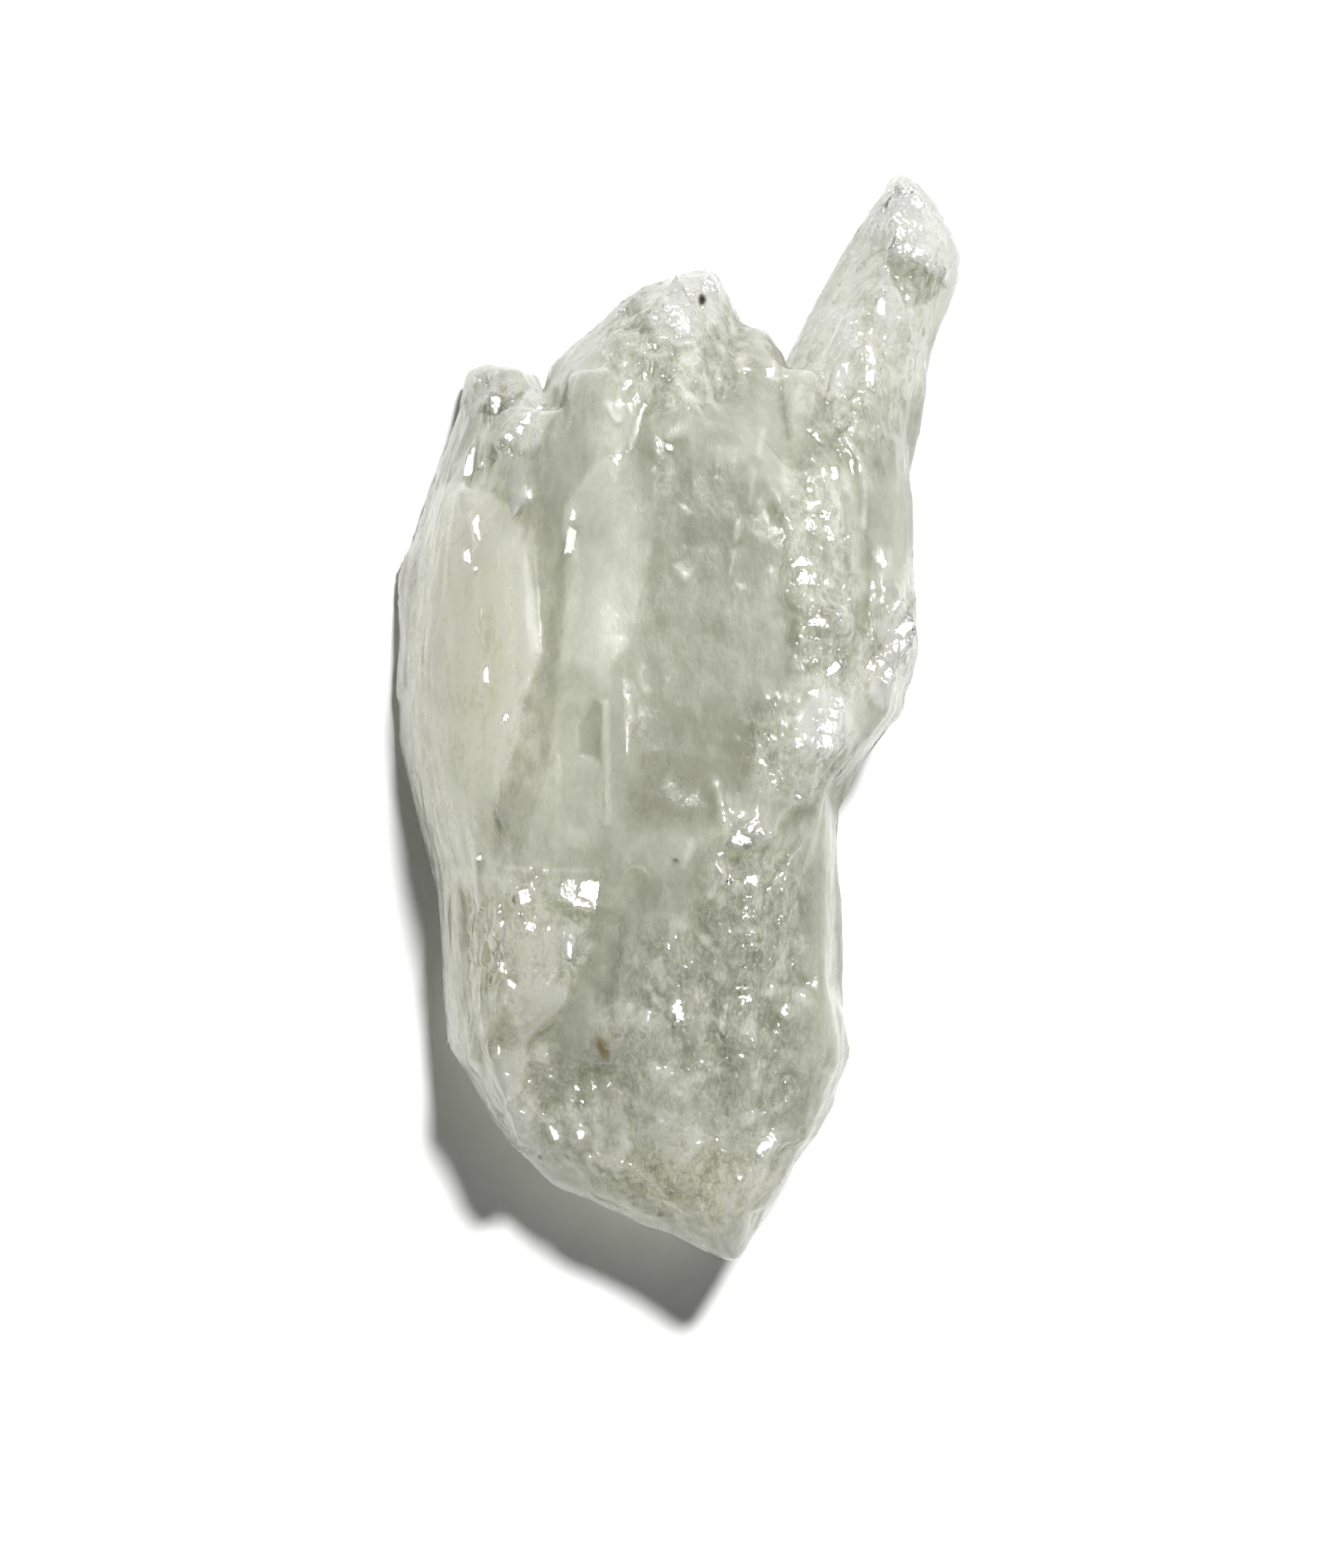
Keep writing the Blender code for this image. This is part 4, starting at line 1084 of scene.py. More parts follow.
@dataclass(frozen=True)
class QuartzFinish:
    """Cloudy pale green quartz that light goes into.

    Args:
        clear_colour: where the stone is clearest and darkest.
        cloudy_colour: where it is cloudiest.
        warm_colour: the same, in its warm parts.
        speck_colour: its dark specks.
        stain_colour: its brown stain.
        see_through: share of the light that goes in rather than being scattered by the skin.
        glow: share of the scattered light that is spread below the skin.
        glow_reach: how far that light is spread, in millimetres for red, green and blue.
        ior: quartz's index of refraction.
        depth_colour: what colour of light is left in the depth.
        depth_density: how strongly the depth absorbs, per metre.
        mottle, strokes: the broad and the small clouds.
        mottle_contrast, strokes_contrast: how strong they are all over, in the warm parts on top
            of that, and in the rough parts.
        mottle_middle, strokes_middle: their level that changes nothing.
        etching: the matt and bright patches of the skin.
        bright, etched: the roughness of the bright patches, and how much more the matt ones have.
        matt: how much more the matt parts have.
        polish: the share of the roughness that the growth faces lack.
        grain: the finest relief.
        grain_strength, grain_height: how strong it is, and how high, in metres.
    """

    clear_colour: tuple[float, float, float] = (0.38, 0.39, 0.31)
    cloudy_colour: tuple[float, float, float] = (0.97, 0.98, 0.89)
    warm_colour: tuple[float, float, float] = (0.98, 0.99, 0.80)
    speck_colour: tuple[float, float, float] = (0.05, 0.045, 0.03)
    stain_colour: tuple[float, float, float] = (0.30, 0.24, 0.12)
    see_through: float = 0.6
    glow: float = 1.0
    glow_reach: tuple[float, float, float] = (6.0, 6.2, 5.8)
    ior: float = 1.544
    depth_colour: tuple[float, float, float] = (0.74, 0.77, 0.62)
    depth_density: float = 30.0
    mottle: Wisps = Wisps((0.0006, 0.0012, 0.0006), 0.8, 0.3, 0.7)
    mottle_contrast: tuple[float, float, float] = (0.12, 0.2, 0.08)
    mottle_middle: float = 0.5
    strokes: Wisps = Wisps((0.0003, 0.0006, 0.0004), 1.8, 0.4, 0.64)
    strokes_contrast: tuple[float, float, float] = (0.08, 0.2, 0.2)
    strokes_middle: float = 0.28
    etching: Wisps = Wisps((0.0008, 0.0016, 0.0008), 0.0, 0.3, 0.7)
    bright: float = 0.14
    etched: float = 0.14
    matt: float = 0.4
    polish: float = 0.75
    grain: Wisps = Wisps((0.00022, 0.0004, 0.00022), 0.0, 0.2, 0.8)
    grain_strength: float = 0.25
    grain_height: float = 0.00004

    def contrast(self, graph: NodeGraph, values: tuple[float, float, float]) -> bpy.types.NodeSocket:
        """Adds how strong some clouds are.

        Args:
            graph: the material's nodes.
            values: their strength all over, and what the warm and the rough parts add.

        Returns:
            The socket of their strength.
        """
        base, warm, rough = values
        strength = graph.math("MULTIPLY_ADD", graph.attribute("warm"), warm, base)
        return graph.math("MULTIPLY_ADD", graph.attribute("roughened"), rough, strength)

    def cloudiness(self, graph: NodeGraph) -> bpy.types.NodeSocket:
        """Adds the clouds, veils and small flecks.

        Args:
            graph: the material's nodes.

        Returns:
            The socket of how cloudy the stone is, from 0 to 1.
        """
        wisps = WispGroup()
        mottle = graph.math("SUBTRACT", wisps.place(graph, self.mottle), self.mottle_middle)
        strokes = graph.math("SUBTRACT", wisps.place(graph, self.strokes), self.strokes_middle)
        cloud = graph.math("MULTIPLY_ADD", mottle, self.contrast(graph, self.mottle_contrast),
                           graph.attribute("cloud"))
        return graph.math("MULTIPLY_ADD", strokes, self.contrast(graph, self.strokes_contrast), cloud)

    def roughness(self, graph: NodeGraph) -> bpy.types.NodeSocket:
        """Adds the roughness: matt where the skin is etched, bright on the growth faces.

        Args:
            graph: the material's nodes.

        Returns:
            The socket of the roughness.
        """
        patches = WispGroup().place(graph, self.etching)
        etched = graph.math("MULTIPLY_ADD", patches, self.etched, self.bright)
        etched = graph.math("MULTIPLY_ADD", graph.attribute("matt"), self.matt, etched)
        polished = graph.math("MULTIPLY", graph.attribute("polish"), self.polish)
        return graph.math("MULTIPLY", etched, graph.math("SUBTRACT", 1.0, polished))

    def relief(self, graph: NodeGraph) -> bpy.types.NodeSocket:
        """Adds the finest relief, below the size of the mesh's faces.

        Args:
            graph: the material's nodes.

        Returns:
            The socket of the normal.
        """
        bump = graph.add("ShaderNodeBump")
        graph.feed(bump, Height=WispGroup().place(graph, self.grain), Strength=self.grain_strength,
                   Distance=self.grain_height)
        return bump.outputs["Normal"]

    def colour(self, graph: NodeGraph) -> bpy.types.NodeSocket:
        """Adds the colour: the clear and the cloudy stone, with the painted light and shade that the
        cloudiness carries, and the stain and the specks on it.

        Args:
            graph: the material's nodes.

        Returns:
            The socket of the colour.
        """
        warm = graph.attribute("warm")
        cloudy = graph.mix_colour(warm, opaque(self.cloudy_colour), opaque(self.warm_colour))
        colour = graph.mix_colour(self.cloudiness(graph), opaque(self.clear_colour), cloudy)
        colour = graph.mix_colour(graph.attribute("stain"), colour, opaque(self.stain_colour))
        return graph.mix_colour(graph.attribute("speck"), colour, opaque(self.speck_colour))

    def material(self) -> bpy.types.Material:
        """Makes the material: its skin, what light does below the skin, and its depth.

        Returns:
            The material.
        """
        material = bpy.data.materials.new("cloudy_green_quartz")
        material.use_nodes = True
        graph = NodeGraph(material.node_tree)
        shader = material.node_tree.nodes["Principled BSDF"]
        graph.feed(shader, Base_Color=self.colour(graph), Roughness=self.roughness(graph),
                   IOR=self.ior, Normal=self.relief(graph), Transmission_Weight=self.see_through,
                   Subsurface_Weight=self.glow, Subsurface_Radius=self.glow_reach,
                   Subsurface_Scale=MM)
        volume = graph.feed(graph.add("ShaderNodeVolumeAbsorption"), Color=opaque(self.depth_colour),
                            Density=self.depth_density)
        output = material.node_tree.nodes["Material Output"]
        graph.feed(output, Volume=volume.outputs["Volume"])
        return material


@dataclass(frozen=True)
class PaperFinish:
    """The plain pale sheet that the stone lies on.

    Args:
        colour: the sheet's colour.
        fibre_colour: the colour of its fibres.
        roughness: how matt it is.
        gloss: how strongly it mirrors.
        fibres: the sheet's fibres.
    """

    colour: tuple[float, float, float] = (0.9, 0.9, 0.9)
    fibre_colour: tuple[float, float, float] = (0.87, 0.87, 0.865)
    roughness: float = 0.9
    gloss: float = 0.1
    fibres: Wisps = Wisps((0.004, 0.004, 0.004), 1.0, 0.3, 0.7)

    def material(self) -> bpy.types.Material:
        """Makes the material: a matt sheet with faint fibres.

        Returns:
            The material.
        """
        material = bpy.data.materials.new("pale_sheet")
        material.use_nodes = True
        graph = NodeGraph(material.node_tree)
        fibres = WispGroup().place(graph, self.fibres)
        colour = graph.mix_colour(fibres, opaque(self.colour), opaque(self.fibre_colour))
        shader = material.node_tree.nodes["Principled BSDF"]
        graph.feed(shader, Base_Color=colour, Roughness=self.roughness, Specular_IOR_Level=self.gloss)
        return material


class Skin:
    """The stone's skin as arrays of points and edges, in millimetres."""

    # How much nearer a pressed face's middle a point counts for each millimetre that it is higher.
    UPPER_FIRST = 0.05
    # How far a pressed face moves the skin: at least, for each millimetre of its size, and at most.
    LEAST_REACH = 0.25
    REACH_RATE = 0.35
    MOST_REACH = 0.6
    # How many times as far a point has to be off to lie on another level.
    STEP_REACHES = 3.0

    def __init__(self, mesh: bpy.types.Mesh) -> None:
        """Reads the skin from a mesh.

        Args:
            mesh: the fine mesh of the stone, in millimetres.
        """
        self.mesh = mesh
        self.points = np.empty(len(mesh.vertices) * 3)
        mesh.vertices.foreach_get("co", self.points)
        self.points = self.points.reshape(-1, 3)
        edges = np.empty(len(mesh.edges) * 2, dtype=np.int64)
        mesh.edges.foreach_get("vertices", edges)
        self.edges = edges.reshape(-1, 2)
        self.counts = np.bincount(self.edges.ravel(), minlength=len(self.points))

    def normals(self) -> np.ndarray:
        """Works out the normals of the skin as it is now.

        Returns:
            The normal at each point.
        """
        self.write()
        normals = np.empty(len(self.points) * 3)
        self.mesh.vertices.foreach_get("normal", normals)
        return normals.reshape(-1, 3)

    def soften(self, rounds: int, where: np.ndarray | float = 1.0) -> None:
        """Evens out the forms by moving each point halfway to its neighbours' mean.

        Args:
            rounds: how often.
            where: how strongly each point is moved, from 0 to 1.
        """
        first, last = self.edges[:, 0], self.edges[:, 1]
        counts = np.maximum(self.counts, 1)
        for _ in range(rounds):
            for axis in range(3):
                column = self.points[:, axis]
                total = np.bincount(first, column[last], len(column))
                total += np.bincount(last, column[first], len(column))
                self.points[:, axis] = column + 0.5 * where * (total / counts - column)

    def flatten(self, face: BroadFace) -> None:
        """Draws a part of the top towards one broad, gently curved face.

        Args:
            face: the broad face.
        """
        share = face.part.share(self.points) * looks_up(self.normals(), BROAD_TOP)
        chosen = np.flatnonzero(share > 0.0)
        weight = share[chosen]
        across = self.points[chosen, 0] - face.part.x
        along = self.points[chosen, 1] - face.part.y
        terms = np.stack([np.ones(len(chosen)), across, along, across**2, across * along, along**2], axis=1)
        height = self.points[chosen, 2]
        fit = np.linalg.lstsq(terms * weight[:, None], height * weight, rcond=None)[0]
        level = terms @ (fit * face.slope)
        level += np.average(height - level, weights=weight)
        self.points[chosen, 2] += face.strength * weight * (level - height)

    def press(self, facet: Facet, upward: np.ndarray) -> None:
        """Presses a small flat face into the top of the skin.

        A large face may move the skin further than a small one. Points that would move much
        further than that lie on another level, behind a step, and stay where they are.

        Args:
            facet: the face.
            upward: how far each point looks upward, from 0 to 1.
        """
        size = max(facet.width, facet.length)
        dx, dy = self.points[:, 0] - facet.x, self.points[:, 1] - facet.y
        chosen = np.flatnonzero((np.abs(dx) < size) & (np.abs(dy) < size) & (upward > 0.0))
        if len(chosen) == 0:
            return
        points, dx, dy = self.points[chosen], dx[chosen], dy[chosen]
        middle = points[np.argmin(np.hypot(dx, dy) - self.UPPER_FIRST * points[:, 2]), 2]
        lean = math.tan(math.radians(facet.tilt))
        heading = math.radians(facet.heading)
        plane = middle + facet.lift - lean * (math.sin(heading) * dx + math.cos(heading) * dy)
        reach = min(self.LEAST_REACH + self.REACH_RATE * size, self.MOST_REACH)
        move = np.clip(plane - points[:, 2], -reach, reach)
        move[np.abs(plane - points[:, 2]) > self.STEP_REACHES * reach] = 0.0
        self.points[chosen, 2] += facet.share(points) * upward[chosen] * move

    def mark(self, name: str, values: np.ndarray) -> None:
        """Writes one number for each point on the mesh, for its material to read.

        Args:
            name: the attribute's name.
            values: the numbers.
        """
        made = self.mesh.attributes.new(name, "FLOAT", "POINT")
        made.data.foreach_set("value", values.astype(np.float32))

    def write(self) -> None:
        """Puts the points back in the mesh."""
        self.mesh.vertices.foreach_set("co", self.points.ravel())
        self.mesh.update()


@dataclass
class Stone:
    """The stone itself: a fine mesh with its relief.

    Args:
        voxel: the size of the fine mesh's faces.
        softening: rounds of evening after the mesh is cut.
        calming: further rounds in the stone's smooth parts.
        refining: how often the mesh is cut in half again at the small growth faces.
        under_share: the share of the triangles that is kept when the underside is thinned.
        face_limit: how many triangles the finished mesh may have.
        crisp_angle: the bend, in degrees, from which an edge between two faces is crisp.
        rest_height: over what height the relief grows to in full.
        rest_start: how high above the floor that starts, as a share of rest_height.
        settle_height: up to what height the underside is brought down onto the floor.
        hollows: the hollows in the underside.
        hollow_share: the share of their height by which they are deepened.
        even_span: the Z of a normal from which on the smooth parts are evened in full.
        level_span: the Z of a normal from which on the coarse relief is there in full.
        steep_relief: the share of the coarse relief that the steep sides have.
        calm_relief: the share of it that the smooth parts have.
        face_relief: the share of the fine relief that the growth faces have.
        refine_reach: how far round a growth face the mesh is cut finer, for each millimetre of its
            size, and beyond that.
        down_to: the Z of a normal below which a point belongs to the underside.
        steep_to: the Z of a normal below which a point belongs to the steep sides.
        painted_rim_glow_and_shade: painted light and shade on the steep sides: lighter at the lower end,
            darker at the upper.
        rim_fall, rim_shift: how that falls off with Y, and its value in the middle.
        rim_least, rim_most: how far it goes.
        shard_base, shard_warm, shard_rough: how strong the shards are all over, and how much
            stronger in the warm and the rough parts.
        shard_steep: the share of that on the steep sides.
        calm_matt: how matt the smooth parts are.
        halo: how strong the brown stain's halo is.
        body_cloud: how cloudy the stone is where nothing makes it more or less so.
        most_cloud: how cloudy it may be before its streaks and shards are added.
        coarse: the layers that come before the growth faces.
        fine: the layers that come after them.
        finish: the stone's finish.
    """

    voxel: float = 0.14
    softening: int = 24
    calming: int = 160
    refining: int = 1
    under_share: float = 0.56
    face_limit: int = 196000
    crisp_angle: float = 34.0
    rest_height: float = 0.6
    rest_start: float = 0.4
    settle_height: float = 1.8
    hollows: Relief = Relief(Grain.SOFT, (2.2, 4.0, 2.2), 0.5, 71.0)
    hollow_share: float = 0.25
    even_span: float = 0.2
    level_span: float = 0.625
    steep_relief: float = 0.45
    calm_relief: float = 0.35
    face_relief: float = 0.25
    refine_reach: tuple[float, float] = (0.6, 0.1)
    down_to: float = 0.1
    steep_to: float = 0.4
    painted_rim_glow_and_shade: float = 0.3
    rim_fall: float = -0.1
    rim_shift: float = -0.2
    rim_least: float = -1.6
    rim_most: float = 1.0
    shard_base: float = 0.25
    shard_warm: float = 0.5
    shard_rough: float = 0.75
    shard_steep: float = 0.1
    calm_matt: float = 0.5
    halo: float = 0.3
    body_cloud: float = 0.48
    most_cloud: float = 0.97
    coarse: tuple[Relief, ...] = (
        Relief(Grain.SOFT, (3.0, 9.0, 3.0), 0.25, 11.3),
        Relief(Grain.RIDGED, (1.6, 9.0, 1.6), 0.07, 3.7, 0.6),
        Relief(Grain.FACES, (1.5, 2.8, 1.5), 0.18, 57.7, 0.2),
        Relief(Grain.SOFT, (0.7, 3.4, 0.7), 0.06, 23.1, 0.6),
        Relief(Grain.FACES, (0.6, 1.0, 0.6), 0.12, 91.3, 0.1),
    )
    fine: tuple[Relief, ...] = (
        Relief(Grain.SOFT, (1.5, 0.5, 1.5), 0.03, 41.9, 0.4),
        Relief(Grain.SOFT, (0.7, 1.2, 0.7), 0.05, 63.1, 1.0),
        Relief(Grain.FACES, (0.4, 0.5, 0.4), 0.05, 29.5, 0.1),
        Relief(Grain.SOFT, (0.3, 0.45, 0.3), 0.02, 19.4, 0.25),
    )
    finish: QuartzFinish = QuartzFinish()

    def fine_mesh(self, node: bpy.types.Object) -> bpy.types.Object:
        """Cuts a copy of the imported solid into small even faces.

        Args:
            node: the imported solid.

        Returns:
            A new object whose mesh is in millimetres.
        """
        mesh = node.data.copy()
        mesh.transform(Matrix.Scale(1.0 / MM, 4))
        piece = put_in_scene("stone", mesh)
        remesh = piece.modifiers.new("fine", "REMESH")
        remesh.mode = "VOXEL"
        remesh.voxel_size = self.voxel
        self.apply_modifiers(piece)
        return piece

    def apply_modifiers(self, piece: bpy.types.Object) -> None:
        """Makes the piece's modifiers part of its mesh.

        Args:
            piece: the piece.
        """
        graph = bpy.context.evaluated_depsgraph_get()
        made = bpy.data.meshes.new_from_object(piece.evaluated_get(graph))
        piece.modifiers.clear()
        used = piece.data
        piece.data = made
        bpy.data.meshes.remove(used)

    def thin(self, piece: bpy.types.Object, where: np.ndarray, kept: float) -> None:
        """Joins faces in a part of the mesh.

        Args:
            piece: the piece.
            where: for each point, whether it may go.
            kept: the share of all the triangles that is kept.
        """
        group = piece.vertex_groups.new(name="thinned")
        group.add(np.flatnonzero(where).tolist(), 1.0, "REPLACE")
        thin = piece.modifiers.new("thin", "DECIMATE")
        thin.ratio = kept
        thin.vertex_group = group.name
        self.apply_modifiers(piece)
        piece.vertex_groups.clear()

    def even_out(self, piece: bpy.types.Object) -> None:
        """Evens out the mesh, most of all in the stone's smooth parts.

        Args:
            piece: the fine stone.
        """
        skin = Skin(piece.data)
        skin.soften(self.softening)
        for face in BROAD_FACES:
            skin.flatten(face)
        calm = rough_and_calm(skin.points)[1]
        even = np.maximum(calm, strongest(EVENED_PARTS, skin.points))
        skin.soften(self.calming, even * np.clip(skin.normals()[:, 2] / self.even_span, 0.0, 1.0))
        skin.write()

    def carve(self, piece: bpy.types.Object) -> None:
        """Gives the fine mesh its relief.

        Args:
            piece: the fine stone.
        """
        skin = Skin(piece.data)
        rough, calm = rough_and_calm(skin.points)
        base = skin.points.copy()
        normals = skin.normals()
        fade = np.clip(base[:, 2] / self.rest_height - self.rest_start, 0.0, 1.0)
        level_ground = np.clip(np.abs(normals[:, 2]) / self.level_span, 0.0, 1.0)
        level = self.steep_relief + (1.0 - self.steep_relief) * level_ground
        level *= fade * (1.0 - (1.0 - self.calm_relief) * calm)
        move = sum(layer.at(base, rough) for layer in self.coarse)
        skin.points = base + normals * (move * level)[:, None]
        upward = looks_up(skin.normals(), RELIEF_TOP)
        raised = sum(zone.rise * zone.share(base) for zone in ZONES if zone.rise)
        raised += sum(streak.height * streak.share(base) for streak in STREAKS)
        skin.points[:, 2] += raised * upward
        for facet in growth_faces():
            skin.press(facet, upward)
        plain = 1.0 - (1.0 - self.face_relief) * strongest(growth_faces(), base)
        move = sum(layer.at(base, rough) for layer in self.fine)
        skin.points = skin.points + skin.normals() * (move * fade * plain)[:, None]
        hollow = self.hollows.at(base, rough) + self.hollow_share * self.hollows.height
        skin.points[:, 2] += (1.0 - fade) * np.maximum(hollow, 0.0)
        skin.points[:, 2] = np.maximum(skin.points[:, 2], 0.0)
        skin.write()

    def settle(self, piece: bpy.types.Object) -> None:
        """Brings the underside down onto the floor that the stone lies on.

        Args:
            piece: the thinned stone.
        """
        skin = Skin(piece.data)
        height = skin.points[:, 2]
        gap = height.min()
        LOG.info("stone: underside brought down by %.3f mm", gap)
        near = smooth(1.0 - (height - gap) / self.settle_height)
        skin.points[:, 2] = height - gap * near
        skin.write()

    def cloud(self, points: np.ndarray, normals: np.ndarray, rough: np.ndarray,
              warm: np.ndarray) -> np.ndarray:
        """Works out how cloudy the stone is, with the painted light and shade of its steep sides.

        Args:
            points: one point a row.
            normals: the normal at each point.
            rough, warm: how far each point lies in the rough and the warm parts.

        Returns:
            0 where it is clear, 1 where it is milky.
        """
        top = normals[:, 2] > 0.0
        cloud = sum(zone.cloud * zone.share(points) for zone in ZONES) * top
        cloud = np.clip(self.body_cloud + cloud, 0.0, self.most_cloud)
        cloud += sum(streak.cloud * streak.share(points) for streak in STREAKS) * top
        busy = np.clip(self.shard_base + self.shard_warm * warm + self.shard_rough * rough, 0.0, 1.0)
        busy *= self.shard_steep + (1.0 - self.shard_steep) * looks_up(normals, SHARD_TOP)
        cloud += sum(layer.at(points) for layer in SHARDS) * busy
        # Painted light and shade: the steep sides are lighter towards the lower end, as a glow of light
        # through the stone, and darker towards the upper end, as a dark rim.
        steep = np.clip(1.0 - np.abs(normals[:, 2]) / self.steep_to, 0.0, 1.0)
        fall = np.clip(self.rim_shift + self.rim_fall * points[:, 1], self.rim_least, self.rim_most)
        return cloud + self.painted_rim_glow_and_shade * steep * fall

    def mark(self, piece: bpy.types.Object) -> None:
        """Writes on the mesh how cloudy, rough, polished and stained it is; the cloudiness carries painted
        light and shade.

        Args:
            piece: the thinned stone, in millimetres.
        """
        skin = Skin(piece.data)
        points = skin.points
        normals = skin.normals()
        top = normals[:, 2] > 0.0
        rough, calm = rough_and_calm(points)
        warm = strongest(WARM_PARTS, points)
        faces = [facet.shine * facet.share(points) for facet in growth_faces()]
        core, halo = (patch.share(points) for patch in STAINS)
        # The cloud values carry painted light too: a glow on the left lobe, highlights along the spire
        # head's glints, and light and shade on the steep sides.
        skin.mark("cloud", self.cloud(points, normals, rough, warm))
        skin.mark("roughened", rough)
        skin.mark("matt", np.maximum(self.calm_matt * calm, strongest(MATT_PARTS, points)) * top)
        skin.mark("polish", np.max(faces, axis=0) * top)
        skin.mark("warm", warm)
        skin.mark("speck", strongest(SPECKS, points) * top)
        skin.mark("stain", np.clip(core + self.halo * halo, 0.0, 1.0) * top)

    def thin_under(self, piece: bpy.types.Object) -> None:
        """Joins faces on the underside, which lies on the floor, so that the top can have more.

        Args:
            piece: the evened stone.
        """
        down = Skin(piece.data).normals()[:, 2] < self.down_to
        self.thin(piece, down, self.under_share)

    def refine(self, piece: bpy.types.Object) -> None:
        """Cuts the mesh finer where the small growth faces lie, so that they get crisp edges.

        Args:
            piece: the evened stone.
        """
        faces = growth_faces()
        for _ in range(self.refining):
            shell = bmesh.new()
            shell.from_mesh(piece.data)
            shell.faces.ensure_lookup_table()
            middles = np.array([face.calc_center_median() for face in shell.faces])
            upward = np.array([face.normal.z > self.down_to for face in shell.faces])
            inside = np.zeros(len(middles), dtype=bool)
            for facet in faces:
                reach = self.refine_reach[0] * max(facet.width, facet.length) + self.refine_reach[1]
                inside |= np.hypot(middles[:, 0] - facet.x, middles[:, 1] - facet.y) < reach
            edges = {edge for index in np.flatnonzero(inside & upward) for edge in shell.faces[index].edges}
            edges = sorted(edges, key=lambda edge: edge.index)
            bmesh.ops.subdivide_edges(shell, edges=edges, cuts=1)
            bmesh.ops.triangulate(shell, faces=[face for face in shell.faces if len(face.verts) > 3])
            shell.to_mesh(piece.data)
            shell.free()
        LOG.info("stone: %d vertices after refining", len(piece.data.vertices))

    def thin_out(self, piece: bpy.types.Object) -> None:
        """Joins faces where the skin is even, down to the number of triangles it may have.

        Args:
            piece: the carved stone.
        """
        piece.data.calc_loop_triangles()
        count = len(piece.data.loop_triangles)
        LOG.info("stone: %d triangles carved", count)
        if count <= self.face_limit:
            return
        spared = strongest(growth_faces(), Skin(piece.data).points) > 0.0
        self.thin(piece, ~spared, self.face_limit / count)

    def build(self, node: bpy.types.Object) -> bpy.types.Object:
        """Builds the stone.

        Args:
            node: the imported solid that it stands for.

        Returns:
            The finished mesh object, in metres.
        """
        piece = self.fine_mesh(node)
        self.even_out(piece)
        self.thin_under(piece)
        self.refine(piece)
        self.carve(piece)
        self.thin_out(piece)
        self.settle(piece)
        self.mark(piece)
        piece.data.transform(Matrix.Scale(MM, 4))
        piece.data.polygons.foreach_set("use_smooth", [True] * len(piece.data.polygons))
        piece.data.set_sharp_from_angle(angle=math.radians(self.crisp_angle))
        piece.data.update()
        LOG.info("stone: %d faces", len(piece.data.polygons))
        return piece

    def dress(self, piece: bpy.types.Object) -> None:
        """Gives the stone its finish.

        Args:
            piece: the finished mesh object.
        """
        piece.data.materials.clear()
        piece.data.materials.append(self.finish.material())
        LOG.info("stone: dressed in cloudy green quartz")


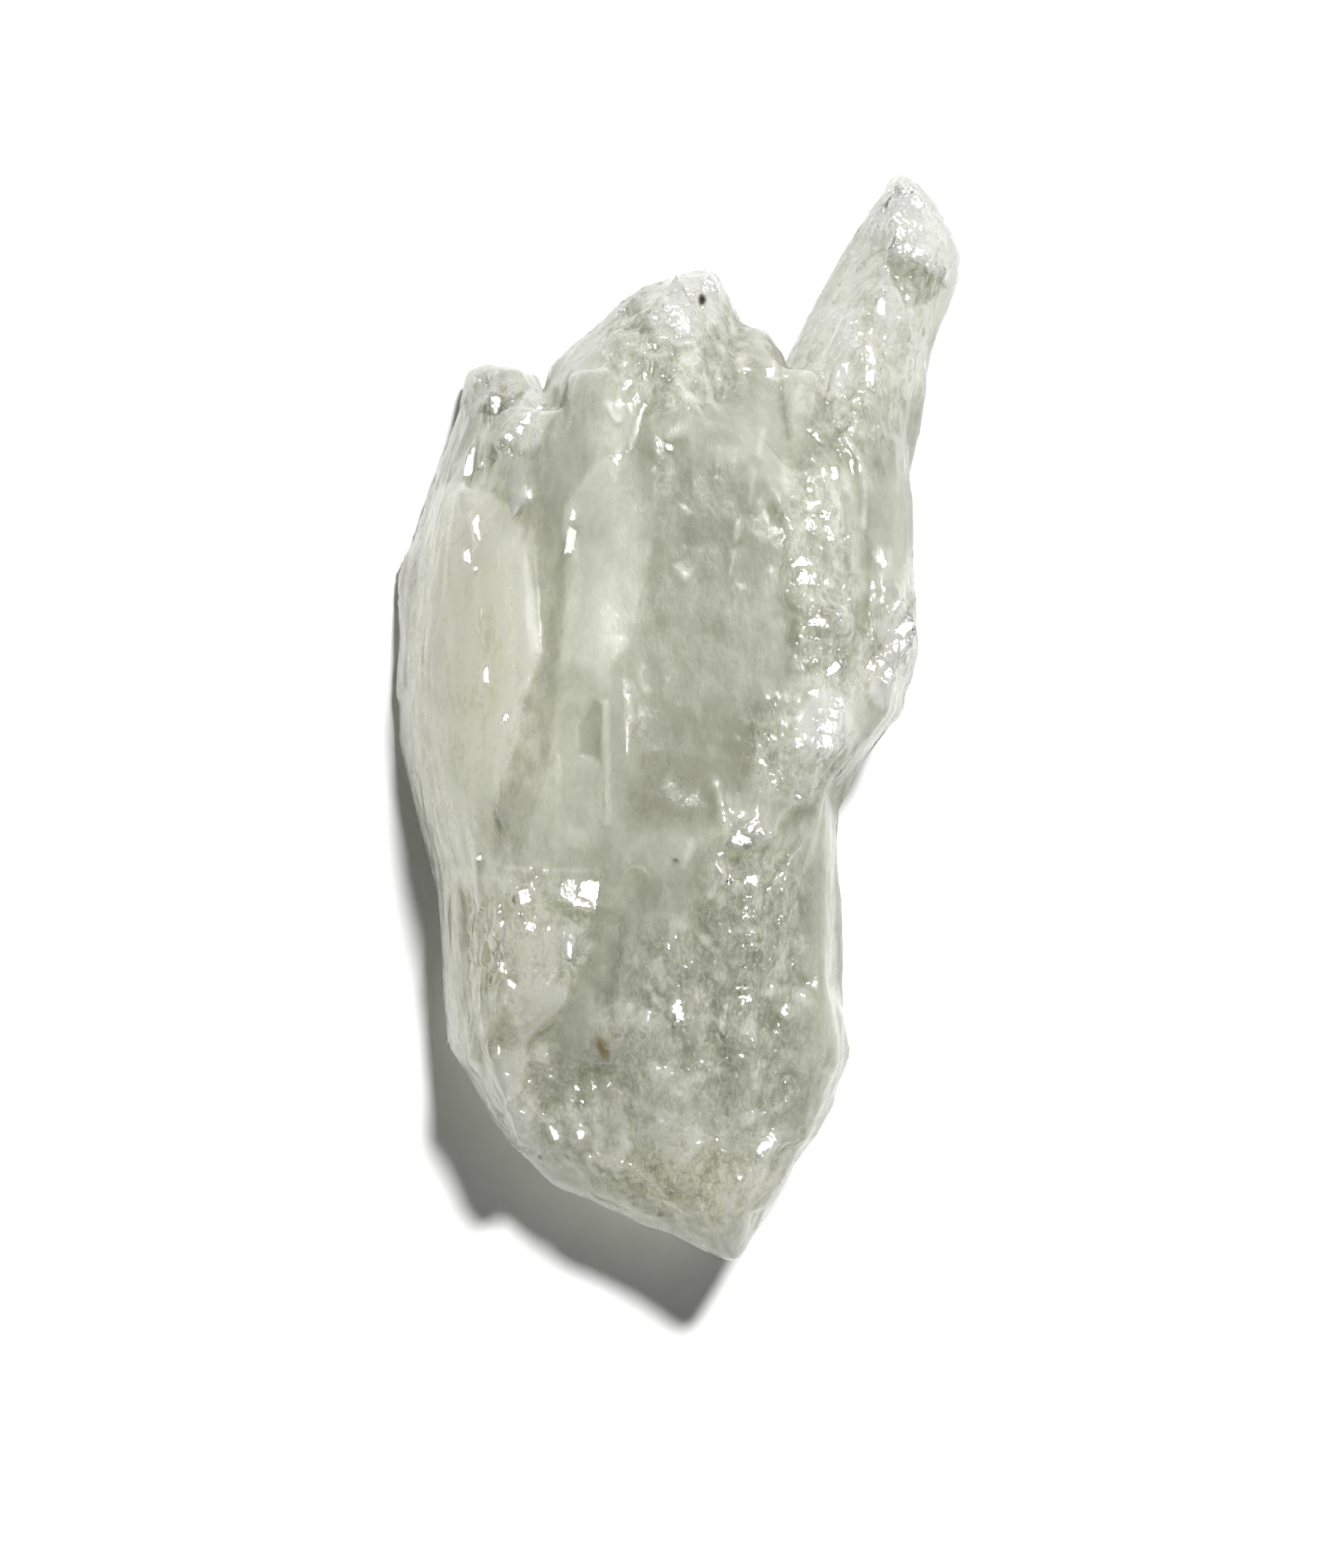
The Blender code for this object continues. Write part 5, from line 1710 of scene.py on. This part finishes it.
@dataclass
class Studio:
    """The floor, the light and the camera.

    Args:
        view_middle: the point straight under the camera.
        view_height: how much of the stone's level the camera sees from top to bottom.
        view_distance: from the camera to that level.
        level: the height over the floor of that level.
        sensor: the height of the camera's sensor.
        clip: how near and how far the camera sees, in metres.
        light_direction: where the lamp stands, seen from the stone.
        light_spread: how many degrees wide the lamp looks.
        light_strength: how strong it is.
        zenith_strength, horizon_strength: how strong the light from the sky is there.
        zenith_from: the height in the sky, as a share, from which on it has the zenith's strength.
        sky_colour: the colour of that light.
        floor_side: half the length of the floor's sides, in metres.
        floor_gap: how far the sheet lies under the stone.
        sheet: the floor's finish.
    """

    view_middle: tuple[float, float] = (-0.72, -3.20)
    view_height: float = 71.48
    view_distance: float = 350.0
    level: float = 6.0
    sensor: float = 24.0
    clip: tuple[float, float] = (0.01, 10.0)
    light_direction: tuple[float, float, float] = (0.27, 0.507, 0.819)
    light_spread: float = 10.0
    light_strength: float = 5.9
    zenith_strength: float = 0.15
    horizon_strength: float = 0.04
    zenith_from: float = 0.7
    sky_colour: tuple[float, float, float] = (1.0, 1.0, 1.0)
    floor_side: float = 4.0
    floor_gap: float = 0.02
    sheet: PaperFinish = PaperFinish()

    def camera(self) -> None:
        """Adds the camera, which looks straight down."""
        data = bpy.data.cameras.new("camera")
        data.sensor_fit = "VERTICAL"
        data.sensor_height = self.sensor
        data.lens = data.sensor_height * self.view_distance / self.view_height
        data.clip_start, data.clip_end = self.clip
        camera = put_in_scene("camera", data)
        camera.location = Vector((*self.view_middle, self.view_distance + self.level)) * MM
        bpy.context.scene.camera = camera

    def floor(self) -> None:
        """Adds the floor, a wide pale sheet."""
        mesh = bpy.data.meshes.new("floor")
        side, low = self.floor_side, -self.floor_gap * MM
        corners = [(-side, -side, low), (side, -side, low), (side, side, low), (-side, side, low)]
        mesh.from_pydata(corners, [], [(0, 1, 2, 3)])
        floor = put_in_scene("floor", mesh)
        mesh.materials.append(self.sheet.material())

    def key_light(self) -> None:
        """Adds the soft lamp at the upper right."""
        data = bpy.data.lights.new("key", "SUN")
        data.angle = math.radians(self.light_spread)
        data.energy = self.light_strength
        light = put_in_scene("key", data)
        direction = Vector(self.light_direction).normalized()
        light.location = direction * self.view_distance * MM
        light.rotation_mode = "QUATERNION"
        light.rotation_quaternion = direction.to_track_quat("Z", "Y")

    def sky(self) -> None:
        """Sets white light from above that fades to the horizon, which the camera sees as white."""
        world = bpy.data.worlds.new("sky")
        bpy.context.scene.world = world
        world.use_nodes = True
        world.node_tree.nodes.clear()
        graph = NodeGraph(world.node_tree)
        place = graph.add("ShaderNodeTexCoord").outputs["Generated"]
        split = graph.feed(graph.add("ShaderNodeSeparateXYZ"), Vector=place)
        fade = graph.add("ShaderNodeMapRange")
        graph.feed(fade, Value=split.outputs["Z"], From_Min=0.0, From_Max=self.zenith_from,
                   To_Min=self.horizon_strength, To_Max=self.zenith_strength)
        around, seen = graph.add("ShaderNodeBackground"), graph.add("ShaderNodeBackground")
        graph.feed(around, Color=opaque(self.sky_colour), Strength=fade.outputs["Result"])
        graph.feed(seen, Color=opaque(self.sky_colour), Strength=1.0)
        mix = graph.add("ShaderNodeMixShader")
        graph.feed(mix, Fac=graph.add("ShaderNodeLightPath").outputs["Is Camera Ray"])
        for source, socket in ((around, mix.inputs[1]), (seen, mix.inputs[2])):
            world.node_tree.links.new(source.outputs["Background"], socket)
        graph.feed(graph.add("ShaderNodeOutputWorld"), Surface=mix.outputs["Shader"])

    def build(self) -> None:
        """Builds the whole studio."""
        self.camera()
        self.floor()
        self.key_light()
        self.sky()
        scene = bpy.context.scene
        scene.view_settings.view_transform = "Standard"
        scene.cycles.use_denoising = True
        LOG.info("studio: camera, floor, lamp and sky")


def main() -> None:
    """Builds the stone and the studio."""
    logging.basicConfig(level=logging.INFO, format="%(name)s: %(message)s")
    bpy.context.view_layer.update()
    Studio().build()
    maker = Stone()
    stone = maker.build(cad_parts[CAD_NODE])
    maker.dress(stone)
    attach(stone, "root")
    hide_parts(CAD_NODE)


if __name__ == "__main__":
    main()
